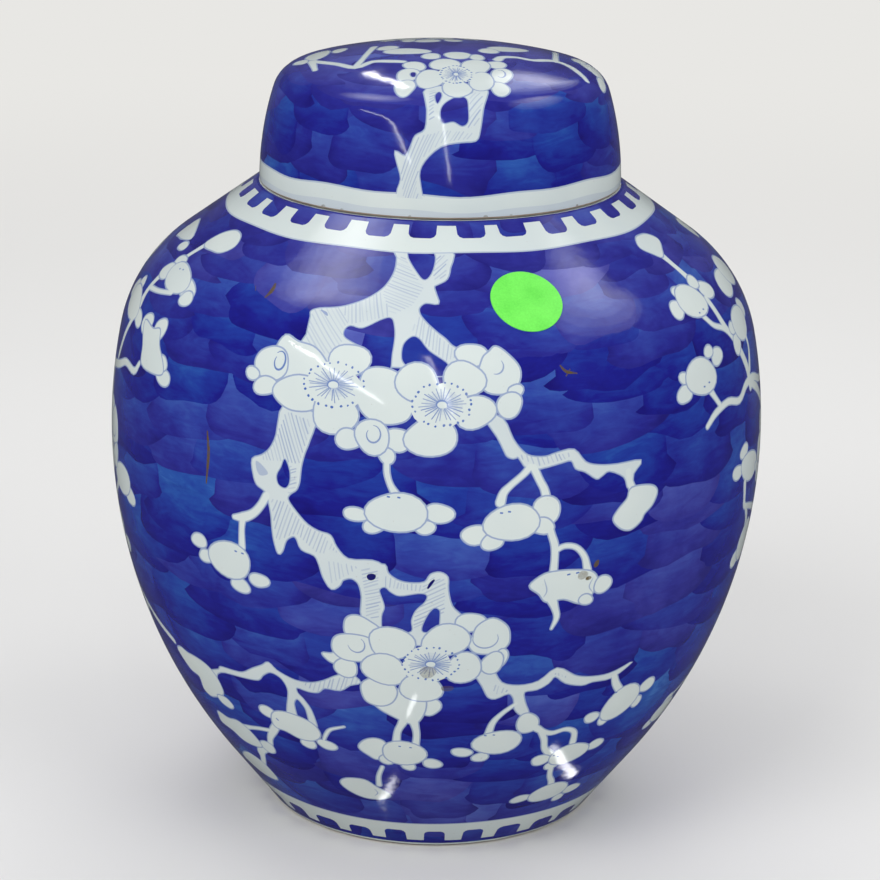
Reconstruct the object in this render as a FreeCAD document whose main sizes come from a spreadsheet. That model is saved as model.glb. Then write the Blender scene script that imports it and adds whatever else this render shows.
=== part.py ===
import FreeCAD, Part
import Sketcher
import math
import os

# Lidded porcelain ginger jar. Units are millimetres.
# The origin is on the jar's axis in the plane that the foot stands on, and +Z is up.
# The body is two thrown sections luted together at the girth, with a collar luted on top for the neck.
# The lid slips over the neck and rests on a flat seat around it.
# Every section is drawn in the XZ plane, radius across and height up, and revolved about Z.

SIZES = [
    # lower section
    ("belly_radius", 122.5),      # outer radius at the girth, where the two sections are luted
    ("lower_height", 146.7),      # foot to girth
    ("flare_radius", 81.5),       # outer radius where the straight flare above the foot ends
    ("flare_height", 25.3),       # height of that end
    ("wall", 7.0),                # wall of both sections
    ("floor_thickness", 9.0),     # porcelain under the inside floor
    ("floor_round", 14.0),        # hollow curve between the floor and the wall
    ("foot_recess", 6.5),         # depth of the turned recess inside the foot ring
    ("foot_ring_width", 5.5),     # width of the foot ring where it stands
    ("foot_ring_slope", 2.0),     # how much narrower the recess is at its top
    ("foot_round", 1.0),          # softened edges of the foot ring
    # upper section
    ("belly_rise", 39.8),         # girth to the start of the shoulder
    ("upper_arc", 200.0),         # radius of the wall's curve above the girth
    ("shoulder_arc", 53.9),       # radius of the shoulder's curve
    ("seat_rise", 11.3),          # seat above the top of the shoulder's circle
    ("seat_margin", 0.6),         # seat showing outside the lid's rim
    # neck
    ("neck_radius", 54.7),        # outside of the collar
    ("neck_wall", 5.0),
    ("neck_height", 28.0),
    # lid
    ("neck_clearance", 2.5),      # lid to collar, at the top of the collar
    ("lid_gap", 0.3),             # lid's rim above the seat
    ("lid_wall", 6.0),            # width of the rim
    ("lid_side_arc", 115.5),      # radius of the side's gentle inward curve, upright at the rim
    ("lid_height", 49.2),
    ("lid_corner", 12.5),         # round between the side and the top
    ("dome_radius", 210.0),       # gentle dome of the top
    ("rim_round", 0.8),           # softened edges of the rim
    # paper label
    ("sticker_diameter", 25.4),
    ("sticker_thickness", 0.25),
    ("sticker_trim", 2.0),        # strip left over around the label before it is cut round
    ("sticker_angle", 18.2),      # degrees round from the front, towards +X
]

# Heights and radii that follow from the sizes, as expressions of the sheet.
LEAN = "asin(sizes.belly_rise / sizes.upper_arc)"
ARC_DROP = "(sizes.upper_arc - sizes.shoulder_arc)"
CROWN_RADIUS = "(sizes.belly_radius - sizes.upper_arc + " + ARC_DROP + " * cos(" + LEAN + "))"
CROWN_HEIGHT = "(sizes.belly_rise * " + ARC_DROP + " / sizes.upper_arc)"
SEAT_OVER_GIRTH = "(" + CROWN_HEIGHT + " + sizes.shoulder_arc + sizes.seat_rise)"
SEAT_HEIGHT = "(sizes.lower_height + " + SEAT_OVER_GIRTH + ")"
NECK_BORE = "(sizes.neck_radius - sizes.neck_wall)"
INNER_SIDE_ARC = "(sizes.lid_side_arc - sizes.lid_wall)"
LID_LEAN_IN = "(" + INNER_SIDE_ARC + " - sqrt(" + INNER_SIDE_ARC + "^2 - sizes.neck_height^2))"
LID_BORE = "(sizes.neck_radius + sizes.neck_clearance + " + LID_LEAN_IN + ")"
LID_RADIUS = "(" + LID_BORE + " + sizes.lid_wall)"
SEAT_RADIUS = "(" + LID_RADIUS + " + sizes.seat_margin)"
# The shoulder's circle ends at this angle, where a straight slope runs on to the seat's edge.
SEAT_BEYOND_CROWN = "(" + SEAT_RADIUS + " - " + CROWN_RADIUS + ")"
SEAT_OVER_CROWN = "(sizes.shoulder_arc + sizes.seat_rise)"
BEND = ("(atan2(" + SEAT_OVER_CROWN + "; " + SEAT_BEYOND_CROWN + ") - acos(sizes.shoulder_arc"
        " / hypot(" + SEAT_OVER_CROWN + "; " + SEAT_BEYOND_CROWN + ")))")
STRIP_HALF = "(sizes.sticker_diameter / 2 + sizes.sticker_trim)"

FIRST, LAST, MIDDLE = range(1, 4)    # a sketch edge's start, end and centre
RADIUS_AXIS, HEIGHT_AXIS = range(-1, -3, -1)    # the sketch's own axes, across and upright
ORIGIN = (RADIUS_AXIS, FIRST)
SAME_HEIGHT = 1e-6                # heights closer than this are level

doc = FreeCAD.newDocument("ginger_jar")
sheet = doc.addObject("Spreadsheet::Sheet", "sizes")
for row, (alias, number) in enumerate(SIZES, start=1):
    sheet.set("A%d" % row, str(number))
    sheet.setAlias("A%d" % row, alias)
doc.recompute()


def size(expression):
    """The value of an expression of the sheet, as a plain number."""
    found = sheet.evalExpression(expression)
    return float(getattr(found, "Value", found))


def polar(centre, radius, angle):
    return (centre[0] + radius * math.cos(angle), centre[1] + radius * math.sin(angle))


class Section:
    """A closed half-section in a sketch of the body's XZ plane, with its rules bound to the sheet."""

    def __init__(self, body, name, plane="XZ_Plane"):
        self.sketch = body.newObject("Sketcher::SketchObject", name)
        base = [p for p in body.Origin.OriginFeatures if p.Role == plane][0]
        self.sketch.AttachmentSupport = [(base, "")]
        self.sketch.MapMode = "FlatFace"

    def line(self, start, end):
        edge = Part.LineSegment(FreeCAD.Vector(*start, 0), FreeCAD.Vector(*end, 0))
        return self.sketch.addGeometry(edge, False)

    def arc(self, centre, radius, low, high):
        """An arc that runs anticlockwise from the angle low to the angle high, in radians."""
        circle = Part.Circle(FreeCAD.Vector(*centre, 0), FreeCAD.Vector(0, 0, 1), radius)
        return self.sketch.addGeometry(Part.ArcOfCircle(circle, low, high), False)

    def circle(self, radius):
        """A whole circle round the sketch's origin, of a radius given as an expression."""
        edge = Part.Circle(FreeCAD.Vector(), FreeCAD.Vector(0, 0, 1), size(radius))
        index = self.sketch.addGeometry(edge, False)
        self.rule("Coincident", index, MIDDLE, *ORIGIN)
        self.rule("Radius", index, to=radius)

    def mark(self, point):
        """A point that only guides the section."""
        return self.sketch.addGeometry(Part.Point(FreeCAD.Vector(*point, 0)), True)

    def rule(self, kind, *parts, to=None):
        """A constraint. A size given in to is an expression of the sheet, and stays bound to it."""
        if to is None:
            self.sketch.addConstraint(Sketcher.Constraint(kind, *parts))
            return
        index = self.sketch.addConstraint(Sketcher.Constraint(kind, *parts, size(to)))
        self.sketch.setExpression("Constraints[%d]" % index, to)

    def chain(self, *joints):
        """Joins edges end to end: each joint is two (edge, end) pairs."""
        for one, other in joints:
            self.rule("Coincident", *one, *other)


def new_body(name):
    body = doc.addObject("PartDesign::Body", name)
    body.Label = name
    return body


def revolve(body, section, angle=None):
    """Turns a section about its height axis: all round, or by an expression either side of its plane."""
    turned = body.newObject("PartDesign::Revolution", body.Name + "_turned")
    turned.Profile = section.sketch
    turned.ReferenceAxis = (section.sketch, ["V_Axis"])
    turned.Angle = 360
    if angle:
        turned.Midplane = True
        turned.setExpression("Angle", angle)
    section.sketch.Visibility = False
    doc.recompute()
    return turned


def round_edges(body, turned, radius):
    """Rounds the circles that the turned piece stands on."""
    names = []
    for number, edge in enumerate(turned.Shape.Edges, start=1):
        box = edge.BoundBox
        flat_on_base = abs(box.ZMax) < SAME_HEIGHT and abs(box.ZMin) < SAME_HEIGHT
        if flat_on_base and isinstance(edge.Curve, Part.Circle):
            names.append("Edge%d" % number)
    fillet = body.newObject("PartDesign::Fillet", body.Name + "_rounded")
    fillet.Base = (turned, names)
    fillet.Radius = size(radius)
    fillet.setExpression("Radius", radius)


def lower_body():
    """Foot ring, recessed base, floor and wall up to the girth."""
    body = new_body("lower_body")
    girth, top = size("sizes.belly_radius"), size("sizes.lower_height")
    flare = (size("sizes.flare_radius"), size("sizes.flare_height"))
    wall, recess = size("sizes.wall"), size("sizes.foot_recess")
    floor = recess + size("sizes.floor_thickness")
    reach, drop = girth - flare[0], top - flare[1]
    outer = (reach ** 2 + drop ** 2) / (2 * reach)
    inner = outer - wall
    centre = (girth - outer, top)
    low = -math.asin(drop / outer)
    inner_flare = polar(centre, inner, low)
    slope = math.tan(low)                            # change of radius with height, below the flare
    foot = flare[0] + slope * flare[1]
    ring = foot - size("sizes.foot_ring_width")
    recess_top = ring - size("sizes.foot_ring_slope")
    bend = size("sizes.floor_round")
    bend_height = floor + bend
    bend_radius = polar(centre, inner - bend, low)[0] + slope * (polar(centre, inner - bend, low)[1]
                                                                 - bend_height)
    bend_centre = (bend_radius, bend_height)
    bend_end = polar(bend_centre, bend, low)

    part = Section(body, "lower_section")
    base = part.line((0, recess), (recess_top, recess))
    side = part.line((recess_top, recess), (ring, 0))
    stand = part.line((ring, 0), (foot, 0))
    straight = part.line((foot, 0), flare)
    belly = part.arc(centre, outer, low, 0)
    seam = part.line((girth, top), (girth - wall, top))
    lining = part.arc(centre, inner, low, 0)
    inside = part.line(inner_flare, bend_end)
    hollow = part.arc(bend_centre, bend, -math.pi / 2, low)
    bottom = part.line((bend_radius, floor), (0, floor))
    middle = part.line((0, floor), (0, recess))
    part.chain(((base, LAST), (side, FIRST)), ((side, LAST), (stand, FIRST)),
               ((stand, LAST), (straight, FIRST)), ((belly, LAST), (seam, FIRST)),
               ((seam, LAST), (lining, LAST)), ((bottom, LAST), (middle, FIRST)),
               ((middle, LAST), (base, FIRST)))
    part.rule("Tangent", straight, LAST, belly, FIRST)
    part.rule("Tangent", lining, FIRST, inside, FIRST)
    part.rule("Tangent", inside, LAST, hollow, LAST)
    part.rule("Tangent", hollow, FIRST, bottom, FIRST)
    part.rule("Coincident", lining, MIDDLE, belly, MIDDLE)
    for level in (base, stand, seam, bottom):
        part.rule("Horizontal", level)
    part.rule("PointOnObject", base, FIRST, HEIGHT_AXIS)
    part.rule("Vertical", middle)
    part.rule("PointOnObject", stand, FIRST, RADIUS_AXIS)
    part.rule("Horizontal", belly, MIDDLE, belly, LAST)
    part.rule("DistanceX", *ORIGIN, belly, LAST, to="sizes.belly_radius")
    part.rule("DistanceY", *ORIGIN, belly, LAST, to="sizes.lower_height")
    part.rule("DistanceX", *ORIGIN, belly, FIRST, to="sizes.flare_radius")
    part.rule("DistanceY", *ORIGIN, belly, FIRST, to="sizes.flare_height")
    part.rule("DistanceX", seam, LAST, seam, FIRST, to="sizes.wall")
    part.rule("Parallel", inside, straight)
    part.rule("Radius", hollow, to="sizes.floor_round")
    part.rule("DistanceY", *ORIGIN, base, FIRST, to="sizes.foot_recess")
    part.rule("DistanceY", base, FIRST, bottom, LAST, to="sizes.floor_thickness")
    part.rule("DistanceX", stand, FIRST, stand, LAST, to="sizes.foot_ring_width")
    part.rule("DistanceX", base, LAST, stand, FIRST, to="sizes.foot_ring_slope")
    turned = revolve(body, part)
    round_edges(body, turned, "sizes.foot_round")
    return body


def shoulder():
    """The shoulder's numbers over the girth: lean, circle's centre, its end and the seat's edge."""
    lean = math.asin(size("sizes.belly_rise") / size("sizes.upper_arc"))
    crown = (size(CROWN_RADIUS), size(CROWN_HEIGHT))
    edge = (size(SEAT_RADIUS), size(SEAT_OVER_GIRTH))
    across, up = edge[0] - crown[0], edge[1] - crown[1]
    away = math.hypot(across, up)
    end = math.atan2(up, across) - math.acos(size("sizes.shoulder_arc") / away)
    return lean, crown, end, edge


def upper_body():
    """Wall above the girth, round shoulder, and the flat seat with the mouth through it."""
    body = new_body("upper_body")
    lean, crown, end, edge = shoulder()
    girth, wall = size("sizes.belly_radius"), size("sizes.wall")
    big, small = size("sizes.upper_arc"), size("sizes.shoulder_arc")
    bore = size(NECK_BORE)
    centre = (girth - big, 0)
    under = polar(crown, small - wall, end)
    roof_height = edge[1] - wall
    under_seat = (under[0] - (roof_height - under[1]) * math.tan(end), roof_height)

    part = Section(body, "upper_section")
    belly = part.arc(centre, big, 0, lean)
    round_out = part.arc(crown, small, lean, end)
    slope = part.line(polar(crown, small, end), edge)
    seat = part.line(edge, (bore, edge[1]))
    mouth = part.line((bore, edge[1]), (bore, roof_height))
    roof = part.line((bore, roof_height), under_seat)
    ceiling = part.line(under_seat, under)
    round_in = part.arc(crown, small - wall, lean, end)
    lining = part.arc(centre, big - wall, 0, lean)
    seam = part.line((girth - wall, 0), (girth, 0))
    part.chain(((slope, LAST), (seat, FIRST)), ((seat, LAST), (mouth, FIRST)),
               ((mouth, LAST), (roof, FIRST)), ((roof, LAST), (ceiling, FIRST)),
               ((lining, FIRST), (seam, FIRST)), ((seam, LAST), (belly, FIRST)))
    part.rule("Tangent", belly, LAST, round_out, FIRST)
    part.rule("Tangent", round_out, LAST, slope, FIRST)
    part.rule("Tangent", ceiling, LAST, round_in, LAST)
    part.rule("Tangent", round_in, FIRST, lining, LAST)
    part.rule("Coincident", round_in, MIDDLE, round_out, MIDDLE)
    part.rule("Coincident", lining, MIDDLE, belly, MIDDLE)
    part.rule("PointOnObject", belly, MIDDLE, RADIUS_AXIS)
    part.rule("PointOnObject", seam, FIRST, RADIUS_AXIS)
    part.rule("PointOnObject", seam, LAST, RADIUS_AXIS)
    part.rule("Horizontal", seat)
    part.rule("Horizontal", roof)
    part.rule("Vertical", mouth)
    part.rule("Parallel", ceiling, slope)
    part.rule("DistanceY", mouth, LAST, mouth, FIRST, to="sizes.wall")
    part.rule("DistanceX", *ORIGIN, seam, LAST, to="sizes.belly_radius")
    part.rule("DistanceX", seam, FIRST, seam, LAST, to="sizes.wall")
    part.rule("Radius", belly, to="sizes.upper_arc")
    part.rule("DistanceY", *ORIGIN, belly, LAST, to="sizes.belly_rise")
    part.rule("Radius", round_out, to="sizes.shoulder_arc")
    part.rule("DistanceX", *ORIGIN, slope, LAST, to=SEAT_RADIUS)
    part.rule("DistanceY", *ORIGIN, slope, LAST, to=SEAT_OVER_GIRTH)
    part.rule("DistanceX", *ORIGIN, mouth, FIRST, to=NECK_BORE)
    revolve(body, part)
    body.setExpression("Placement.Base.z", "sizes.lower_height")
    return body


def neck():
    """Collar with a half-round lip, luted on the seat around the mouth."""
    body = new_body("neck")
    outside, bore = size("sizes.neck_radius"), size(NECK_BORE)
    lip = (outside - bore) / 2
    shoulder_of_lip = size("sizes.neck_height") - lip

    part = Section(body, "neck_section")
    foot = part.line((bore, 0), (outside, 0))
    outer = part.line((outside, 0), (outside, shoulder_of_lip))
    top = part.arc((outside - lip, shoulder_of_lip), lip, 0, math.pi)
    inner = part.line((bore, shoulder_of_lip), (bore, 0))
    part.chain(((foot, LAST), (outer, FIRST)), ((inner, LAST), (foot, FIRST)))
    part.rule("Tangent", outer, LAST, top, FIRST)
    part.rule("Tangent", top, LAST, inner, FIRST)
    part.rule("PointOnObject", foot, FIRST, RADIUS_AXIS)
    part.rule("Horizontal", foot)
    part.rule("Vertical", outer)
    part.rule("Vertical", inner)
    part.rule("DistanceX", *ORIGIN, foot, LAST, to="sizes.neck_radius")
    part.rule("DistanceX", *ORIGIN, foot, FIRST, to=NECK_BORE)
    part.rule("DistanceY", *ORIGIN, outer, LAST, to="sizes.neck_height - sizes.neck_wall / 2")
    revolve(body, part)
    body.setExpression("Placement.Base.z", SEAT_HEIGHT)
    return body


def lid():
    """Cap with a gently curved side, a round corner and a slightly domed top."""
    body = new_body("lid")
    rim, bore = size(LID_RADIUS), size(LID_BORE)
    curve, corner = size("sizes.lid_side_arc"), size("sizes.lid_corner")
    dome, height = size("sizes.dome_radius"), size("sizes.lid_height")
    wall = rim - bore
    side_centre, dome_centre = (rim - curve, 0), (0, height - dome)
    # The corner's circle lies inside the side's circle and the dome's, touching both.
    to_dome = (dome_centre[0] - side_centre[0], dome_centre[1] - side_centre[1])
    apart = math.hypot(*to_dome)
    along = ((curve - corner) ** 2 - (dome - corner) ** 2 + apart ** 2) / (2 * apart)
    aside = math.sqrt((curve - corner) ** 2 - along ** 2)
    ahead = (to_dome[0] / apart, to_dome[1] / apart)
    corner_centre = (side_centre[0] + along * ahead[0] - aside * ahead[1],
                     side_centre[1] + along * ahead[1] + aside * ahead[0])
    low = math.atan2(corner_centre[1] - side_centre[1], corner_centre[0] - side_centre[0])
    high = math.atan2(corner_centre[1] - dome_centre[1], corner_centre[0] - dome_centre[0])

    part = Section(body, "lid_section")
    stand = part.line((bore, 0), (rim, 0))
    side = part.arc(side_centre, curve, 0, low)
    bend = part.arc(corner_centre, corner, low, high)
    top = part.arc(dome_centre, dome, high, math.pi / 2)
    middle = part.line((0, height), (0, height - wall))
    ceiling = part.arc(dome_centre, dome - wall, high, math.pi / 2)
    bend_in = part.arc(corner_centre, corner - wall, low, high)
    inside = part.arc(side_centre, curve - wall, 0, low)
    part.chain(((stand, LAST), (side, FIRST)), ((top, LAST), (middle, FIRST)),
               ((middle, LAST), (ceiling, LAST)), ((inside, FIRST), (stand, FIRST)))
    part.rule("Tangent", side, LAST, bend, FIRST)
    part.rule("Tangent", bend, LAST, top, FIRST)
    part.rule("Tangent", ceiling, FIRST, bend_in, LAST)
    part.rule("Tangent", bend_in, FIRST, inside, LAST)
    part.rule("Coincident", inside, MIDDLE, side, MIDDLE)
    part.rule("Coincident", bend_in, MIDDLE, bend, MIDDLE)
    part.rule("Coincident", ceiling, MIDDLE, top, MIDDLE)
    part.rule("PointOnObject", side, MIDDLE, RADIUS_AXIS)
    part.rule("PointOnObject", top, MIDDLE, HEIGHT_AXIS)
    part.rule("PointOnObject", top, LAST, HEIGHT_AXIS)
    part.rule("PointOnObject", ceiling, LAST, HEIGHT_AXIS)
    part.rule("PointOnObject", stand, FIRST, RADIUS_AXIS)
    part.rule("PointOnObject", stand, LAST, RADIUS_AXIS)
    part.rule("DistanceX", *ORIGIN, stand, FIRST, to=LID_BORE)
    part.rule("DistanceX", *ORIGIN, stand, LAST, to=LID_RADIUS)
    part.rule("DistanceY", *ORIGIN, top, LAST, to="sizes.lid_height")
    part.rule("Radius", side, to="sizes.lid_side_arc")
    part.rule("Radius", top, to="sizes.dome_radius")
    part.rule("Radius", bend, to="sizes.lid_corner")
    turned = revolve(body, part)
    round_edges(body, turned, "sizes.rim_round")
    body.setExpression("Placement.Base.z", SEAT_HEIGHT + " + sizes.lid_gap")
    return body


def sticker():
    """Round paper label that follows the shoulder where its round meets the straight slope."""
    body = new_body("sticker")
    lean, crown, end, edge = shoulder()
    small = size("sizes.shoulder_arc")
    thick = size("sizes.sticker_thickness")
    half = size(STRIP_HALF)
    start = end - 2 * math.asin(half / 2 / small)
    bend = polar(crown, small, end)
    along = (-math.sin(end), math.cos(end))
    far = (bend[0] + half * along[0], bend[1] + half * along[1])
    out = (thick * math.cos(end), thick * math.sin(end))

    # A strip as thick as the paper, wrapped on the shoulder.
    part = Section(body, "strip_section")
    round_in = part.arc(crown, small, start, end)
    slope_in = part.line(bend, far)
    far_end = part.line(far, (far[0] + out[0], far[1] + out[1]))
    slope_out = part.line((far[0] + out[0], far[1] + out[1]), polar(crown, small + thick, end))
    round_out = part.arc(crown, small + thick, start, end)
    near_end = part.line(polar(crown, small + thick, start), polar(crown, small, start))
    seat_edge = part.mark(edge)
    part.chain(((slope_in, LAST), (far_end, FIRST)), ((far_end, LAST), (slope_out, FIRST)),
               ((round_out, FIRST), (near_end, FIRST)), ((near_end, LAST), (round_in, FIRST)))
    part.rule("Tangent", round_in, LAST, slope_in, FIRST)
    part.rule("Tangent", slope_out, LAST, round_out, LAST)
    part.rule("Coincident", round_in, MIDDLE, round_out, MIDDLE)
    part.rule("Parallel", slope_in, slope_out)
    part.rule("Perpendicular", far_end, slope_in)
    part.rule("PointOnObject", round_in, MIDDLE, near_end)
    part.rule("DistanceX", *ORIGIN, round_in, MIDDLE, to=CROWN_RADIUS)
    part.rule("DistanceY", *ORIGIN, round_in, MIDDLE, to=CROWN_HEIGHT)
    part.rule("Radius", round_in, to="sizes.shoulder_arc")
    part.rule("Radius", round_out, to="sizes.shoulder_arc + sizes.sticker_thickness")
    part.rule("Distance", slope_in, FIRST, slope_in, LAST, to=STRIP_HALF)
    part.rule("Distance", round_in, FIRST, round_in, LAST, to=STRIP_HALF)
    part.rule("DistanceX", *ORIGIN, seat_edge, FIRST, to=SEAT_RADIUS)
    part.rule("DistanceY", *ORIGIN, seat_edge, FIRST, to=SEAT_OVER_GIRTH)
    part.rule("PointOnObject", seat_edge, FIRST, slope_in)
    revolve(body, part, angle="2 * asin(" + STRIP_HALF + " / " + SEAT_RADIUS + ")")

    # All of the strip outside the round label is cut away, square to the shoulder at the label's middle.
    ring = Section(body, "label_outline", plane="XY_Plane")
    ring.circle("sizes.sticker_diameter / 2")
    ring.circle("2 * sizes.sticker_diameter")
    lean_out = FreeCAD.Rotation(FreeCAD.Vector(0, 1, 0), 90 - math.degrees(end))
    ring.sketch.AttachmentOffset = FreeCAD.Placement(FreeCAD.Vector(bend[0], 0, bend[1]), lean_out)
    ring.sketch.setExpression("AttachmentOffset.Base.x",
                              CROWN_RADIUS + " + sizes.shoulder_arc * cos(" + BEND + ")")
    ring.sketch.setExpression("AttachmentOffset.Base.z",
                              CROWN_HEIGHT + " + sizes.shoulder_arc * sin(" + BEND + ")")
    ring.sketch.setExpression("AttachmentOffset.Rotation.Angle", "90 deg - " + BEND)
    trimmed = body.newObject("PartDesign::Pocket", "trimmed")
    trimmed.Profile = ring.sketch
    trimmed.Midplane = True
    trimmed.setExpression("Length", "2 * sizes.sticker_diameter")
    ring.sketch.Visibility = False

    body.Placement.Rotation = FreeCAD.Rotation(FreeCAD.Vector(0, 0, 1), size("sizes.sticker_angle") - 90)
    body.setExpression("Placement.Rotation.Angle", "(sizes.sticker_angle - 90) * 1 deg")
    body.setExpression("Placement.Base.z", "sizes.lower_height")
    return body


def check(bodies):
    """Stops unless every object recomputed and every piece is one whole solid."""
    for item in doc.Objects:
        if "Invalid" in item.State or "Error" in item.State:
            raise RuntimeError(item.Label + " did not recompute")
    for body in bodies:
        shape = body.Shape
        if shape.isNull() or not shape.isValid() or len(shape.Solids) != 1:
            raise RuntimeError(body.Label + " is not one valid solid")


pieces = [lower_body(), upper_body(), neck(), lid(), sticker()]
doc.recompute()
check(pieces)
os.makedirs("parts", exist_ok=True)
for piece in pieces:
    piece.Shape.exportStep("parts/%s.step" % piece.Label)
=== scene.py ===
import math
import random

import bpy
import numpy as np
from mathutils import Matrix, Vector
from mathutils.geometry import delaunay_2d_cdt


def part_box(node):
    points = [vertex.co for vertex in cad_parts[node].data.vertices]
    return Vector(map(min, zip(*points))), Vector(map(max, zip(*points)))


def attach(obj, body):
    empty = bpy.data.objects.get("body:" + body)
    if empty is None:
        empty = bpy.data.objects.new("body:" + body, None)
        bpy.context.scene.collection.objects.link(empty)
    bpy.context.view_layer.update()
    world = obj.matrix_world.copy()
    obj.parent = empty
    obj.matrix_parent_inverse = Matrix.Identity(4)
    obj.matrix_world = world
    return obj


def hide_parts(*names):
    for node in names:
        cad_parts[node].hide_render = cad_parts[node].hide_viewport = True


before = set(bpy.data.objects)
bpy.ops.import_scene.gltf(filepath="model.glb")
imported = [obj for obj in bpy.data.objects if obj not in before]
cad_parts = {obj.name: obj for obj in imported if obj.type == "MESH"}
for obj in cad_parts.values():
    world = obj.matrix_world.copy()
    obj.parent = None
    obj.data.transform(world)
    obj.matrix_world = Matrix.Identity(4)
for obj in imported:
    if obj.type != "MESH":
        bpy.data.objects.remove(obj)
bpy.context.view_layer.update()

# ---------------------------------------------------------------------------
# Sizes, in millimetres. What the frame holds is read from it.
# ---------------------------------------------------------------------------
MM = 0.001


def top_of(node):
    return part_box(node)[1].z / MM


def foot_of(node):
    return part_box(node)[0].z / MM


def radius_of(node):
    low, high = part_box(node)
    return min(high.x, -low.x, high.y, -low.y) / MM


GIRTH = radius_of("lower_body")
SPLIT = top_of("lower_body")
SEAT = top_of("upper_body")
NECK_RADIUS = radius_of("neck")
NECK_TOP = top_of("neck")
LID_RADIUS = radius_of("lid")
LID_FOOT = foot_of("lid")
LID_TOP = top_of("lid")

WALL, LID_WALL, NECK_WALL = 7.0, 6.0, 5.0
# the body's outline, upwards: the straight flare, then arcs to the belly and the shoulder
FLARE_RADIUS, FLARE_HEIGHT = 81.5, 25.3
UPPER_ARC, BELLY_RISE = 200.0, 39.8
SHOULDER_ARC = 53.9
SEAT_MARGIN = 0.6           # how far the seat reaches out past the lid
# the foot ring, its recess and the floor inside
FOOT_RING, FOOT_SLOPE, FOOT_EDGE = 5.5, 2.0, 1.0
FOOT_BARE_UP, FOOT_BARE_IN = 2.2, 1.5       # how far the wiped clay reaches inside the ring
FOOT_RECESS, FLOOR, FLOOR_ROUND = 6.5, 15.5, 14.0
# the lid's outline: arcs for its side, its corner and its top
LID_SIDE_ARC, LID_CORNER, LID_DOME = 115.5, 12.5, 210.0
RIM_ROUND = 0.8


def arc(centre, radius, first, last, step=1.0):
    """Points along an arc, about step millimetres apart."""
    count = max(3, int(abs(last - first) * radius / step) + 1)
    return [(centre[0] + radius * math.cos(a), centre[1] + radius * math.sin(a))
            for a in np.linspace(first, last, count)]


def straight(start, end, step=2.0):
    """Points along a straight line, both ends included."""
    count = max(2, int(math.dist(start, end) / step) + 1)
    return [(start[0] + (end[0] - start[0]) * t, start[1] + (end[1] - start[1]) * t)
            for t in np.linspace(0, 1, count)]


def joined(*runs):
    """Runs of points end to end, without doubled points."""
    points = []
    for run in runs:
        for p in run:
            if not points or math.dist(points[-1], p) > 1e-6:
                points.append(p)
    return points


class Profile:
    """An outline in radius and height, measured by its length."""

    def __init__(self, points):
        self.r = np.array([p[0] for p in points])
        self.z = np.array([p[1] for p in points])
        steps = np.hypot(np.diff(self.r), np.diff(self.z))
        self.s = np.concatenate([[0.0], np.cumsum(steps)])
        self.length = self.s[-1]

    def at(self, s):
        return np.interp(s, self.s, self.r), np.interp(s, self.s, self.z)

    def slope(self, s):
        """Direction of the outline at s, as radius and height."""
        a = self.at(np.clip(s - 0.8, 0, self.length))
        b = self.at(np.clip(s + 0.8, 0, self.length))
        dr, dz = b[0] - a[0], b[1] - a[1]
        size = np.maximum(np.hypot(dr, dz), 1e-9)
        return dr / size, dz / size

    def length_at_height(self, z):
        return float(np.interp(z, self.z, self.s))


def body_profiles():
    """Outer and inner outlines of the body, from the foot up to the seat."""
    reach, drop = GIRTH - FLARE_RADIUS, SPLIT - FLARE_HEIGHT
    big = (reach ** 2 + drop ** 2) / (2 * reach)
    centre = (GIRTH - big, SPLIT)
    low = -math.asin(drop / big)
    foot = FLARE_RADIUS + math.tan(low) * FLARE_HEIGHT
    upper_centre = (GIRTH - UPPER_ARC, SPLIT)
    lean = math.asin(BELLY_RISE / UPPER_ARC)
    away = UPPER_ARC - SHOULDER_ARC
    crown = (upper_centre[0] + away * math.cos(lean), upper_centre[1] + away * math.sin(lean))
    edge = (LID_RADIUS + SEAT_MARGIN, SEAT)
    across, up = edge[0] - crown[0], edge[1] - crown[1]
    end = math.atan2(up, across) - math.acos(SHOULDER_ARC / math.hypot(across, up))
    outer = joined(straight((foot, 0), (FLARE_RADIUS, FLARE_HEIGHT)),
                   arc(centre, big, low, 0), arc(upper_centre, UPPER_ARC, 0, lean),
                   arc(crown, SHOULDER_ARC, lean, end),
                   straight((crown[0] + SHOULDER_ARC * math.cos(end),
                             crown[1] + SHOULDER_ARC * math.sin(end)), edge))
    bend_z = FLOOR + FLOOR_ROUND
    on_wall = big - WALL - FLOOR_ROUND
    bend_r = (centre[0] + on_wall * math.cos(low)
              + math.tan(low) * (centre[1] + on_wall * math.sin(low) - bend_z))
    inner_low = joined(arc(centre, big - WALL, 0, low),
                       arc((bend_r, bend_z), FLOOR_ROUND, low, -math.pi / 2),
                       straight((bend_r, FLOOR), (0, FLOOR), 6.0))
    inner_up = joined(arc(upper_centre, UPPER_ARC - WALL, 0, lean),
                      arc(crown, SHOULDER_ARC - WALL, lean, end))
    under, roof = inner_up[-1], SEAT - WALL
    inner_up += [(under[0] - (roof - under[1]) * math.tan(end), roof),
                 (NECK_RADIUS - NECK_WALL, roof)]
    return Profile(outer), inner_low, inner_up, foot


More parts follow.
